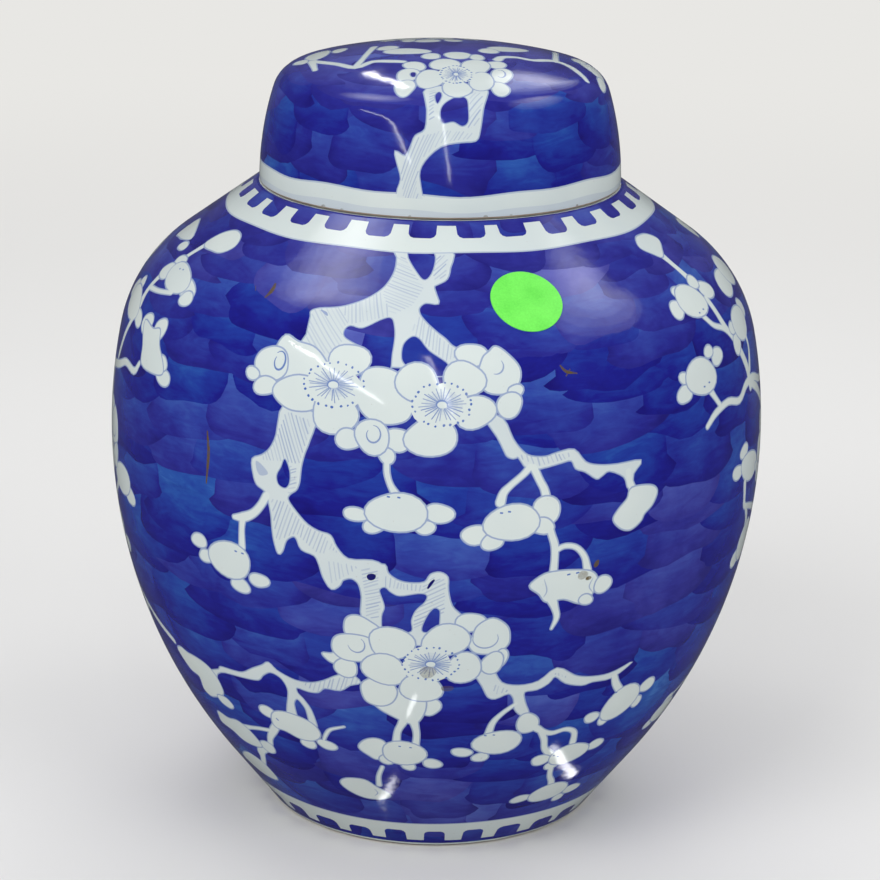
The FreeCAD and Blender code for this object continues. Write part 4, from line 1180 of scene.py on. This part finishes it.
class Solid:
    """Collects a closed piece's vertices, faces, corner colours and normals."""

    def __init__(self):
        self.points, self.faces = [], []
        self.paint, self.flaw, self.normal, self.place = [], [], [], []
        self.run = 0.0          # length of the strips so far, which are laid out one after another

    def point(self, x, y, z):
        self.points.append((x, y, z))
        return len(self.points) - 1

    def ring(self, r, z, azimuths):
        return [self.point(r * math.sin(a), -r * math.cos(a), z) for a in azimuths]

    def face(self, ids, paint, flaw, normals=None, place=None, levels=None):
        """One face. Paint is one colour or one for each corner, and flaw is one colour.

        Place is where the corners lie in the baked picture's map. Without it they
        are laid out by azimuth and by their level along the strip.
        """
        count = len(ids)
        self.faces.append(tuple(ids))
        self.place.extend(self.rolled(ids, levels) if place is None else place)
        self.paint.extend(np.broadcast_to(paint, (count, 4)))
        self.flaw.extend([flaw] * count)
        self.normal.extend([(0.0, 0.0, 0.0)] * count if normals is None else normals)

    def rolled(self, ids, levels):
        """Azimuth and level of a face's corners, without a jump at the back."""
        turns = []
        for i in ids:
            x, y, _ = self.points[i]
            turns.append(math.degrees(math.atan2(x, -y)) if math.hypot(x, y) > 1e-6 else None)
        known = [a for a in turns if a is not None]
        if max(known) - min(known) > 180:
            turns = [a + 360 if a is not None and a < 0 else a for a in turns]
            known = [a for a in turns if a is not None]
        middle = sum(known) / len(known)
        return [("strip", middle if a is None else a, level) for a, level in zip(turns, levels)]

    def band(self, lower, upper, paint, flaw, low=0.0, high=1.0):
        """Quads between two rings of the same count."""
        count = len(lower)
        for i in range(count):
            j = (i + 1) % count
            self.face((lower[i], lower[j], upper[j], upper[i]), paint, flaw,
                      levels=(low, low, high, high))

    def fan(self, ring, middle, paint, flaw, up, low=0.0, high=1.0):
        count = len(ring)
        for i in range(count):
            j = (i + 1) % count
            ids = (ring[i], ring[j], middle) if up else (ring[j], ring[i], middle)
            self.face(ids, paint, flaw, levels=(low, low, high))

    def strip(self, run, first, azimuths, paint_at, middle_up=None):
        """Rings along a run of (radius, height) points, starting from a ring that is there.

        A last point on the axis closes the strip with a fan.
        """
        last = first
        x, y, height = self.points[first[0]]
        before = (math.hypot(x, y), height)
        for r, z in run:
            paint, flaw = paint_at(r, z)
            start = self.run
            self.run += math.dist(before, (r, z))
            before = (r, z)
            if r < 1e-6:
                middle = self.point(0.0, 0.0, z)
                self.fan(last, middle, paint, flaw, middle_up, start, self.run)
                return middle
            ring = self.ring(r, z, azimuths)
            self.band(last, ring, paint, flaw, start, self.run)
            last = ring
        return last

    def stitch(self, ring_a, az_a, ring_b, az_b, paint, flaw):
        """Triangles between two rings that have different azimuths."""
        i = j = 0
        count_a, count_b = len(ring_a), len(ring_b)
        while i < count_a or j < count_b:
            next_a = az_a[i + 1] if i + 1 < count_a else az_a[0] + 2 * math.pi
            next_b = az_b[j + 1] if j + 1 < count_b else az_b[0] + 2 * math.pi
            if j >= count_b or (i < count_a and next_a <= next_b):
                self.face((ring_a[i % count_a], ring_a[(i + 1) % count_a], ring_b[j % count_b]),
                          paint, flaw, levels=(self.run + 1, self.run + 1, self.run))
                i += 1
            else:
                self.face((ring_a[i % count_a], ring_b[(j + 1) % count_b], ring_b[j % count_b]),
                          paint, flaw, levels=(self.run + 1, self.run, self.run))
                j += 1

    def build(self, name, strips=STRIP_ROWS):
        """The mesh. Strips gives the part of the baked map's height that they take."""
        mesh = bpy.data.meshes.new(name)
        mesh.from_pydata([tuple(c * MM for c in p) for p in self.points], [], self.faces)
        for layer, values in (("paint", self.paint), ("flaw", self.flaw)):
            attribute = mesh.color_attributes.new(layer, "FLOAT_COLOR", "CORNER")
            attribute.data.foreach_set("color", np.array(values, np.float32).ravel())
        foot, tall = strips[0], (strips[1] - strips[0]) / (self.run + 1.0)
        map_at = [(u, v) if kind == "wall" else (0.005 + 0.99 * (u + 180) / 366, foot + tall * v)
                  for kind, u, v in self.place]
        layer = mesh.uv_layers.new(name="OFBake")
        layer.data.foreach_set("uv", np.array(map_at, np.float32).ravel())
        mesh.polygons.foreach_set("use_smooth", [True] * len(mesh.polygons))
        mesh.update()
        mesh.normals_split_custom_set([tuple(n) for n in self.normal])
        piece = bpy.data.objects.new(name, mesh)
        bpy.context.scene.collection.objects.link(piece)
        return piece


# values of the paint layer and of the flaw layer where nothing is drawn
WHITE = (1.0, 0.0, 0.5, 0.0)
COBALT = (0.0, 0.0, 0.35, 0.1)
SOUND = (0.0, 0.0, 0.0, 1.0)
BARE = (0.0, 0.0, 1.0, 1.0)


def sorted_ring(ids, solid):
    """A boundary loop in order round the axis, with its azimuths in radians."""
    pairs = sorted((math.atan2(solid.points[i][0], -solid.points[i][1]), i) for i in ids)
    return [p[1] for p in pairs], [p[0] for p in pairs]


def half_rows(azimuths, s, low, high):
    """Map places of a wall face: the front half in the lower row, the back half in the upper."""
    middle = sum(azimuths) / len(azimuths)
    front = abs(middle) <= 90
    turn = 0.0 if front else math.copysign(180, middle)
    foot = FRONT_ROW if front else BACK_ROW
    places = []
    for azimuth, along in zip(azimuths, s):
        part = min(1.0, max(0.0, (along - low) / (high - low)))
        places.append(("wall", (azimuth - turn + ROW_REACH) / (2 * ROW_REACH),
                       foot + ROW_HEIGHT * part))
    return places


def all_round(count):
    """Azimuths in radians, evenly spaced."""
    return [2 * math.pi * i / count for i in range(count)]


def soft_ring(outer, inner, height, soft, angles):
    """Outline of a ring that lies on a plane, from outside to inside, with rounded edges."""
    outside = [(outer - soft * (1 - math.cos(a)), height + soft * (1 - math.sin(a)))
               for a in angles]
    inside = [(inner + soft * (1 - math.sin(a)), height + soft * (1 - math.cos(a)))
              for a in angles]
    return outside + [(outer - soft, height), (inner + soft, height)] + inside


def wall_part(flat, tris, paints, flaws, keep, seam_at):
    """The part of the wall whose triangles are kept, with its vertices welded at the back."""
    solid = Solid()
    points, normals = revolved(BODY, flat[:, 0], flat[:, 1])
    used = sorted({v for number in keep for v in tris[number]})
    left = [v for v in used if flat[v][0] < -180 + SAME]
    heights = np.array([flat[v][1] for v in left])
    index, twin = {}, {}
    for v in used:
        if flat[v][0] > 180 - SAME:
            twin[v] = left[int(np.argmin(abs(heights - flat[v][1])))]

    def vertex(v):
        v = twin.get(v, v)
        if v not in index:
            index[v] = solid.point(*points[v])
        return index[v]

    for number in keep:
        tri = tris[number]
        ids = [vertex(v) for v in tri]
        if len(set(ids)) == 3:
            place = half_rows([flat[v][0] for v in tri], [flat[v][1] for v in tri], *seam_at)
            solid.face(ids, paints[number], tuple(flaws[number, 0]), normals[list(tri)], place)
    rings = []
    for s in seam_at:
        members = {index[v] for v in index if abs(flat[v][1] - s) < SAME}
        rings.append(sorted_ring(members, solid))
    return solid, rings


def glaze(r, z):
    return WHITE, SOUND


def biscuit(r, z):
    return WHITE, BARE


def body_pieces():
    """The lower and the upper body, parted at the girth, where the real jar is luted."""
    low, high = WALL_START, WALL_END
    corners = [(-180, low), (180, low), (180, high), (-180, high)]
    grid = [(x, y) for y in np.arange(low + MESH_STEP, high - 1, MESH_STEP)
            for x in np.arange(-177.6, 179, 2.4)]
    lines = [[(-180, GIRTH_S), (180, GIRTH_S)]]
    flat, tris, covers = cut_chart(body, corners, grid, lines, BODY_STRETCH)
    paints, flaws = colours(body, flat, tris, covers)
    middle = np.array([flat[list(t), 1].mean() for t in tris])

    below = np.nonzero(middle < GIRTH_S)[0]
    lower, (foot, joint) = wall_part(flat, tris, paints, flaws, below, (low, GIRTH_S))
    # from the girth inwards over the joint, then down the lining to the floor
    lower.strip([(GIRTH - WALL, SPLIT)] + LOWER_LINING[1:], *joint, glaze, middle_up=True)
    # the foot ring, bare where it was wiped and stood in the kiln, and the glazed recess
    inside = FOOT_RADIUS - FOOT_RING
    run = soft_ring(FOOT_RADIUS, inside, 0.0, FOOT_EDGE, (0.4, 0.8, 1.2))
    run += [(inside - 0.15, FOOT_EDGE + 0.2), (inside - FOOT_SLOPE, FOOT_RECESS - 0.6),
            (inside - FOOT_SLOPE - 0.7, FOOT_RECESS)]
    run += [(r, FOOT_RECESS) for r in (44.0, 30.0, 16.0, 6.0, 0.0)]

    def foot_finish(r, z):
        bare = z < FOOT_BARE_UP and r > inside - FOOT_BARE_IN
        return biscuit(r, z) if bare else glaze(r, z)

    lower.strip(run, foot[0][::-1], foot[1][::-1], foot_finish, middle_up=True)

    above = np.nonzero(middle >= GIRTH_S)[0]
    upper, (joint, seat) = wall_part(flat, tris, paints, flaws, above, (GIRTH_S, high))
    # up the lining to the opening, then outwards over the seat: bare under the neck
    azimuths = joint[1][::-1]
    bore = NECK_RADIUS - NECK_WALL
    run = [(GIRTH - WALL, SPLIT)] + UPPER_LINING[1:] + [(bore, SEAT - 3.0), (bore, SEAT)]
    ring = upper.strip(run, joint[0][::-1], azimuths, glaze)
    ring = upper.strip([(LID_RADIUS - LID_WALL - 0.4, SEAT)], ring, azimuths, biscuit)
    ring = upper.strip([(LID_RADIUS + SEAT_MARGIN - 0.5, SEAT)], ring, azimuths, glaze)
    upper.stitch(*seat, ring[::-1], joint[1], COBALT, SOUND)
    return lower.build("lower_body_glazed"), upper.build("upper_body_glazed")


def lid_piece():
    """The lid: its painted outside, its rim and its lining."""
    reach = LID_REACH
    corners = [(reach * math.sin(a), -reach * math.cos(a)) for a in all_round(180)]
    grid = []
    for rho in np.arange(MESH_STEP, reach - 1, MESH_STEP):
        count = max(8, int(2 * math.pi * rho / 3.2))
        grid.extend((rho * math.sin(a + math.pi / count), -rho * math.cos(a + math.pi / count))
                    for a in all_round(count))
    flat, tris, covers = cut_chart(lid, corners, grid, [], 1.0)
    paints, flaws = colours(lid, flat, tris, covers)
    azimuth = np.degrees(np.arctan2(flat[:, 0], -flat[:, 1]))
    points, normals = revolved(LID, azimuth, LID.length - np.hypot(flat[:, 0], flat[:, 1]))
    solid = Solid()
    index, sides = {}, {}
    for number, tri in enumerate(tris):
        for v in tri:
            if v not in index:
                index[v] = solid.point(*points[v])
        place = [("wall", 0.5 + 0.44 * flat[v][0] / reach, 0.45 + 0.44 * flat[v][1] / reach)
                 for v in tri]
        solid.face([index[v] for v in tri], paints[number], tuple(flaws[number, 0]),
                   normals[list(tri)], place)
        for i in range(3):
            side = frozenset((tri[i - 1], tri[i]))
            sides[side] = sides.get(side, 0) + 1
    rim = {index[v] for side, times in sides.items() if times == 1 for v in side}
    ring, azimuths = sorted_ring(rim, solid)
    run = (soft_ring(LID_RADIUS, LID_RADIUS - LID_WALL, LID_FOOT, RIM_ROUND, (0.5, 1.1))
           + [p for p in LID_LINING[1:] if p[1] > LID_FOOT + RIM_ROUND + 0.2])

    def finish(r, z):
        return biscuit(r, z) if z < LID_FOOT + 0.5 else glaze(r, z)

    solid.strip(run, ring[::-1], azimuths[::-1], finish, middle_up=True)
    return solid.build("lid_glazed")


def neck_piece():
    """The collar: a plain ring of white porcelain with a rounded lip, wiped bare on top."""
    bore, half = NECK_RADIUS - NECK_WALL, NECK_WALL / 2
    outline = [(bore, SEAT), (bore, SEAT + 8), (bore, SEAT + 16), (bore, NECK_TOP - half)]
    outline += [(NECK_RADIUS - half + half * math.cos(a), NECK_TOP - half + half * math.sin(a))
                for a in np.linspace(math.pi, 0, 13)[1:-1]]
    outline += [(NECK_RADIUS, NECK_TOP - half), (NECK_RADIUS, SEAT + 16), (NECK_RADIUS, SEAT + 8),
                (NECK_RADIUS, SEAT + 1.6), (NECK_RADIUS, SEAT)]
    solid = Solid()
    rings = [solid.ring(r, z, all_round(160)) for r, z in outline]
    for i, here in enumerate(outline):
        following = (i + 1) % len(rings)
        start = solid.run
        solid.run += math.dist(here, outline[following])
        solid.band(rings[following], rings[i], WHITE, BARE if 4 <= i <= 12 else SOUND,
                   solid.run, start)
    return solid.build("neck_glazed", (0.005, 0.995))


# ---------------------------------------------------------------------------
# Materials
# ---------------------------------------------------------------------------
class Nodes:
    """A short way to write a material's nodes."""

    def __init__(self, name):
        self.material = bpy.data.materials.new(name)
        self.material.use_nodes = True
        self.tree = self.material.node_tree
        self.shader = self.tree.nodes["Principled BSDF"]

    def new(self, kind, **settings):
        node = self.tree.nodes.new(kind)
        for key, value in settings.items():
            setattr(node, key, value)
        return node

    def link(self, a, b):
        self.tree.links.new(a, b)

    def put(self, socket, value):
        if hasattr(value, "links"):
            self.link(value, socket)
        else:
            socket.default_value = value

    def math(self, operation, a, b=0.0, c=0.0, clamp=False):
        node = self.new("ShaderNodeMath", operation=operation, use_clamp=clamp)
        for socket, value in zip(node.inputs, (a, b, c)):
            self.put(socket, value)
        return node.outputs[0]

    def noise(self, vector, scale, detail=3.0, rough=0.5, distortion=0.0):
        node = self.new("ShaderNodeTexNoise")
        self.link(vector, node.inputs["Vector"])
        node.inputs["Scale"].default_value = scale
        node.inputs["Detail"].default_value = detail
        node.inputs["Roughness"].default_value = rough
        node.inputs["Distortion"].default_value = distortion
        return node.outputs["Fac"]

    def ramp(self, value, stops):
        node = self.new("ShaderNodeValToRGB")
        elements = node.color_ramp.elements
        while len(elements) < len(stops):
            elements.new(0.5)
        for element, (position, colour) in zip(elements, stops):
            element.position = position
            element.color = (*colour, 1.0)
        self.put(node.inputs["Fac"], value)
        return node.outputs["Color"]

    def mix(self, factor, a, b, blend="MIX"):
        node = self.new("ShaderNodeMix", data_type="RGBA", blend_type=blend)
        self.put(node.inputs[0], factor)
        for socket, value in ((node.inputs[6], a), (node.inputs[7], b)):
            if isinstance(value, tuple):
                socket.default_value = (*value, 1.0)
            else:
                self.link(value, socket)
        return node.outputs[2]

    def bump(self, height, strength, distance, under=None):
        node = self.new("ShaderNodeBump")
        node.inputs["Strength"].default_value = strength
        node.inputs["Distance"].default_value = distance
        self.link(height, node.inputs["Height"])
        if under is not None:
            self.link(under, node.inputs["Normal"])
        return node.outputs["Normal"]


def shade(r, g, b):
    """A colour given as it looks on a screen, from 0 to 255, as linear light."""
    return tuple((c / 255 / 12.92) if c / 255 <= 0.04045 else ((c / 255 + 0.055) / 1.055) ** 2.4
                 for c in (r, g, b))


PORCELAIN = shade(214, 221, 215)
PORCELAIN_GREY = shade(192, 203, 205)
INK_LINE = shade(60, 98, 172)
INK_DARK = shade(24, 24, 96)
SPECK = shade(150, 140, 120)
CLAY = shade(176, 164, 148)
CLAY_DARK = shade(120, 102, 82)
KILN_BROWN = shade(92, 76, 40)
COBALT_RAMP = ((0.0, shade(20, 14, 104)), (0.3, shade(24, 26, 128)), (0.58, shade(29, 54, 146)),
               (0.82, shade(38, 80, 160)), (1.0, shade(60, 108, 178)))
# thin violet wash, also used for the painted sheen on the shoulder and the lid's top
VIOLET = shade(62, 62, 144)
VIOLET_LIGHT = shade(112, 110, 186)


def porcelain(name):
    """Glazed porcelain, painted in cobalt where the paint layer says so, and bare clay."""
    n = Nodes(name)
    place = n.new("ShaderNodeTexCoord").outputs["Object"]
    paint = n.new("ShaderNodeAttribute", attribute_name="paint")
    flaw = n.new("ShaderNodeAttribute", attribute_name="flaw")
    parts = n.new("ShaderNodeSeparateColor")
    n.link(paint.outputs["Color"], parts.inputs[0])
    white, line, light = parts.outputs[0], parts.outputs[1], parts.outputs[2]
    violet_and_sheen = paint.outputs["Alpha"]
    flaws = n.new("ShaderNodeSeparateColor")
    n.link(flaw.outputs["Color"], flaws.inputs[0])
    stain, ink, bare = flaws.outputs[0], flaws.outputs[1], flaws.outputs[2]

    # the wash: pooled colour in each brush mark, broken by clouds, flat bands and fine streaks
    clouds = n.noise(place, 42.0, 4.0, 0.55, 0.4)
    stretch = n.new("ShaderNodeMapping")
    stretch.inputs["Scale"].default_value = (1.0, 1.0, 3.2)
    n.link(place, stretch.inputs["Vector"])
    streaks = n.noise(stretch.outputs[0], 130.0, 3.0, 0.6, 0.8)
    bands = n.noise(stretch.outputs[0], 52.0, 3.0, 0.6, 1.2)
    depth = light
    for pattern, share in ((clouds, 0.55), (bands, 0.6), (streaks, 0.3)):
        depth = n.math("MULTIPLY_ADD", n.math("SUBTRACT", pattern, 0.5), share, depth)
    depth = n.math("ADD", depth, 0.0, clamp=True)
    cobalt = n.ramp(depth, COBALT_RAMP)
    # thinner, violet wash where the paint layer's alpha says so; on the shoulder and the lid's top it is
    # partly painted sheen of light reflected in the glaze
    thin = n.mix(depth, VIOLET, VIOLET_LIGHT)
    amount = n.math("MULTIPLY", violet_and_sheen, n.math("ADD", clouds, 0.1), clamp=True)
    cobalt = n.mix(n.math("MULTIPLY", amount, 1.1, clamp=True), cobalt, thin)

    # the white body under a faintly blue-green glaze, with a few specks
    tint = n.noise(place, 28.0, 3.0)
    body_white = n.mix(n.math("MULTIPLY", tint, 0.9, clamp=True), PORCELAIN, PORCELAIN_GREY)
    specks = n.math("GREATER_THAN", n.noise(place, 900.0, 1.0), 0.79)
    body_white = n.mix(n.math("MULTIPLY", specks, 0.35), body_white, SPECK)

    # the painting: the wash, bare white, pale lines on the white, dark ink and burnt flaws
    colour = n.mix(white, cobalt, body_white)
    colour = n.mix(n.math("GREATER_THAN", line, 0.01), colour, n.mix(line, body_white, INK_LINE))
    colour = n.mix(ink, colour, INK_DARK)
    grit = n.noise(place, 700.0, 3.0, 0.7)
    burnt = n.math("MULTIPLY", stain, n.math("MULTIPLY_ADD", grit, 1.6, 0.1), clamp=True)
    colour = n.mix(burnt, colour, KILN_BROWN)

    # bare biscuit on the rims that were wiped before firing
    clay = n.mix(n.noise(place, 160.0, 4.0, 0.6), CLAY, CLAY_DARK)
    colour = n.mix(bare, colour, clay)
    n.link(colour, n.shader.inputs["Base Color"])

    # the glaze is glossy and a little wavy; bare clay is dry
    wavy = n.noise(place, 21.0, 2.0, 0.5)
    dimples = n.noise(place, 240.0, 2.0, 0.5)
    height = n.math("ADD", wavy, n.math("MULTIPLY", dimples, 0.05))
    normal = n.bump(height, 0.4, 0.0016)
    rough = n.math("MULTIPLY_ADD", n.noise(place, 90.0, 2.0), 0.05, 0.06)
    rough = n.math("ADD", rough, n.math("MULTIPLY", bare, 0.65))
    n.link(rough, n.shader.inputs["Roughness"])
    grain = n.math("MULTIPLY", n.noise(place, 1400.0, 3.0, 0.7), bare)
    n.link(n.bump(grain, 0.3, 0.0004, normal), n.shader.inputs["Normal"])
    n.shader.inputs["IOR"].default_value = 1.5
    return n.material


def paper(name):
    """Bright green paper of the lot label, with a faint fibre."""
    n = Nodes(name)
    place = n.new("ShaderNodeTexCoord").outputs["Object"]
    fibre = n.noise(place, 1500.0, 4.0, 0.7)
    cloud = n.noise(place, 120.0, 2.0)
    tone = n.math("MULTIPLY_ADD", fibre, 0.5, n.math("MULTIPLY", cloud, 0.5))
    n.link(n.ramp(tone, ((0.3, shade(92, 214, 66)), (0.7, shade(122, 240, 92)))),
           n.shader.inputs["Base Color"])
    n.link(n.bump(fibre, 0.15, 0.0002), n.shader.inputs["Normal"])
    n.shader.inputs["Roughness"].default_value = 0.45
    return n.material


def stage_floor(name, colour, near, far):
    """A pale floor that keeps the shadow and, to the camera alone, fades to a pale backdrop."""
    n = Nodes(name)
    place = n.new("ShaderNodeTexCoord").outputs["Object"]
    length = n.new("ShaderNodeVectorMath", operation="LENGTH")
    n.link(place, length.inputs[0])
    away = n.new("ShaderNodeMapRange", interpolation_type="SMOOTHSTEP")
    n.link(length.outputs["Value"], away.inputs["Value"])
    away.inputs["From Min"].default_value, away.inputs["From Max"].default_value = near, far
    seen = n.new("ShaderNodeLightPath").outputs["Is Camera Ray"]
    fade = n.math("MULTIPLY", away.outputs["Result"], seen)
    mottle = n.mix(n.noise(place, 3.0, 2.0), colour, tuple(c * 0.97 for c in colour))
    n.link(n.mix(fade, mottle, (0.0, 0.0, 0.0)), n.shader.inputs["Base Color"])
    n.shader.inputs["Emission Color"].default_value = (*colour, 1.0)
    n.link(fade, n.shader.inputs["Emission Strength"])
    n.shader.inputs["Roughness"].default_value = 0.6
    n.shader.inputs["Specular IOR Level"].default_value = 0.0
    return n.material


# ---------------------------------------------------------------------------
# The pieces
# ---------------------------------------------------------------------------
painted = porcelain("painted_porcelain")
white_ware = porcelain("white_porcelain")

lower, upper = body_pieces()
neck = neck_piece()
cover = lid_piece()
for piece, body_name, node, material, slot in (
        (lower, "jar", "lower_body", painted, "painted_porcelain"),
        (upper, "jar", "upper_body", painted, "painted_porcelain"),
        (neck, "jar", "neck", white_ware, "white_porcelain"),
        (cover, "lid", "lid", painted, "painted_porcelain")):
    piece.data.materials.append(material)
    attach(piece, body_name)
    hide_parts(node)

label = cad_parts["sticker"]
label.data.materials.clear()
label.data.materials.append(paper("label_paper"))

# ---------------------------------------------------------------------------
# Stage, camera and light
# ---------------------------------------------------------------------------
floor_mesh = bpy.data.meshes.new("floor")
REACH, DEEP = 6.0, 0.02
corners = [(x, y, z) for z in (-DEEP, 0.0) for x, y in
           ((-REACH, -REACH), (REACH, -REACH), (REACH, REACH), (-REACH, REACH))]
floor_mesh.from_pydata(corners, [], [(3, 2, 1, 0), (4, 5, 6, 7), (0, 1, 5, 4), (1, 2, 6, 5),
                                     (2, 3, 7, 6), (3, 0, 4, 7)])
floor = bpy.data.objects.new("floor", floor_mesh)
bpy.context.scene.collection.objects.link(floor)
floor.data.materials.append(stage_floor("stage_floor", shade(232, 231, 228), 0.4, 1.5))

CAMERA_AWAY, CAMERA_HEIGHT = 1.1, 0.4855
CAMERA_DOWN, CAMERA_TURN, CAMERA_ROLL = 17.45, -0.078, 0.927
camera = bpy.data.objects.new("camera", bpy.data.cameras.new("camera"))
bpy.context.scene.collection.objects.link(camera)
camera.data.sensor_width = 36.0
camera.data.lens = 124.08
camera.location = (0.0, -CAMERA_AWAY, CAMERA_HEIGHT)
camera.rotation_mode = "XYZ"
camera.rotation_euler = (Matrix.Rotation(math.radians(CAMERA_TURN), 3, "Z")
                         @ Matrix.Rotation(math.radians(90 - CAMERA_DOWN), 3, "X")
                         @ Matrix.Rotation(math.radians(CAMERA_ROLL), 3, "Z")).to_euler()
bpy.context.scene.camera = camera


def softbox(name, place, target, wide, tall, power):
    """A lamp that faces its target."""
    lamp = bpy.data.lights.new(name, "AREA")
    lamp.shape = "RECTANGLE"
    lamp.size, lamp.size_y = wide, tall
    lamp.energy = power
    thing = bpy.data.objects.new(name, lamp)
    bpy.context.scene.collection.objects.link(thing)
    thing.location = place
    aim = Vector(target) - Vector(place)
    thing.rotation_euler = aim.to_track_quat("-Z", "Y").to_euler()
    return thing


def mirrored(azimuth, s, far, profile=BODY):
    """Where a lamp stands so that the camera sees it reflected at a point of the wall."""
    points, normals = revolved(profile, np.array([azimuth]), np.array([s]))
    spot = Vector(points[0] * MM)
    normal = Vector(normals[0]).normalized()
    view = (camera.location - spot).normalized()
    return spot + (2 * normal.dot(view) * normal - view) * far, spot


def streak(name, first, last, far, wide, glow, profile=BODY):
    """A strip lamp that shows as a narrow line of light between two points of the wall."""
    (one, spot), (two, _) = mirrored(*first, far, profile), mirrored(*last, far, profile)
    middle, along = (one + two) / 2, two - one
    lamp = softbox(name, middle, spot, along.length, wide,
                   glow * math.pi * along.length * wide)
    back = (middle - spot).normalized()
    side = along.normalized()
    side = (side - back * side.dot(back)).normalized()
    lamp.rotation_euler = Matrix((side, back.cross(side), back)).transposed().to_euler()
    return lamp


for name, place, size, power in (("key", (-0.9, -1.3, 1.5), 1.0, 15),
                                 ("fill", (1.3, -1.2, 1.1), 1.2, 9),
                                 ("rear", (0.2, 1.5, 1.4), 1.2, 6)):
    softbox(name, place, (0, 0, 0.15), size, size, power).visible_glossy = False
LAMPS_AWAY = 1.0        # metres from the wall to the lamps that show in the glaze
for name, first, last, wide, glow, wall in (
        ("strip_left", (-27, 223), (-9, 205), 0.014, 20, BODY),
        ("strip_right", (-2, 222), (3, 201), 0.012, 18, BODY),
        ("strip_low", (-3.0, 96), (-4.6, 84), 0.02, 16, BODY),
        ("strip_lid_left", (-38, LID.length - 43), (-14, LID.length - 52), 0.012, 14, LID),
        ("strip_foot_left", (-8, 50), (-13, 34), 0.02, 8, BODY),
        ("strip_foot_right", (26, 66), (37, 42), 0.025, 8, BODY)):
    streak(name, first, last, LAMPS_AWAY, wide, glow, wall)
RINGS, RING_GAP = 5, 0.01   # lamps one behind another, so that a glow fades towards its edge
for name, (az, s), (turn, rise), wide, glow, wall in (
        ("glow_left", (-23.5, 250.5), (-12, 9.5), 0.5, 3.4, BODY),
        ("glow_right", (33, 242), (6.5, 15), 0.5, 2.6, BODY),
        ("glow_lid", (44, LID.length - 50), (10, 7.5), 0.36, 1.8, LID)):
    for ring in range(1, RINGS + 1):
        share = ring / RINGS
        lamp = streak(f"{name}_{ring}", (az + turn * share, s + rise * share),
                      (az - turn * share, s - rise * share), LAMPS_AWAY + RING_GAP * ring,
                      wide * share, glow / RINGS, wall)
        lamp.data.shape = "ELLIPSE"
floor.visible_glossy = False

# the room lights the jar evenly but shows only faintly in the glaze, and the camera sees it pale
ROOM_LIGHT, ROOM_IN_GLAZE = 0.55, 0.09
world = bpy.data.worlds.new("studio")
bpy.context.scene.world = world
world.use_nodes = True
tree = world.node_tree
background = tree.nodes["Background"]
rays = tree.nodes.new("ShaderNodeLightPath")
glossy = tree.nodes.new("ShaderNodeMath")
glossy.operation = "MULTIPLY_ADD"
glossy.inputs[1].default_value = ROOM_IN_GLAZE - ROOM_LIGHT
glossy.inputs[2].default_value = ROOM_LIGHT
tree.links.new(rays.outputs["Is Glossy Ray"], glossy.inputs[0])
camera_part = tree.nodes.new("ShaderNodeMath")
camera_part.operation = "MAXIMUM"
tree.links.new(glossy.outputs[0], camera_part.inputs[0])
tree.links.new(rays.outputs["Is Camera Ray"], camera_part.inputs[1])
tree.links.new(camera_part.outputs[0], background.inputs["Strength"])
background.inputs["Color"].default_value = (0.95, 0.96, 1.0, 1.0)
bpy.context.scene.view_settings.view_transform = "Standard"
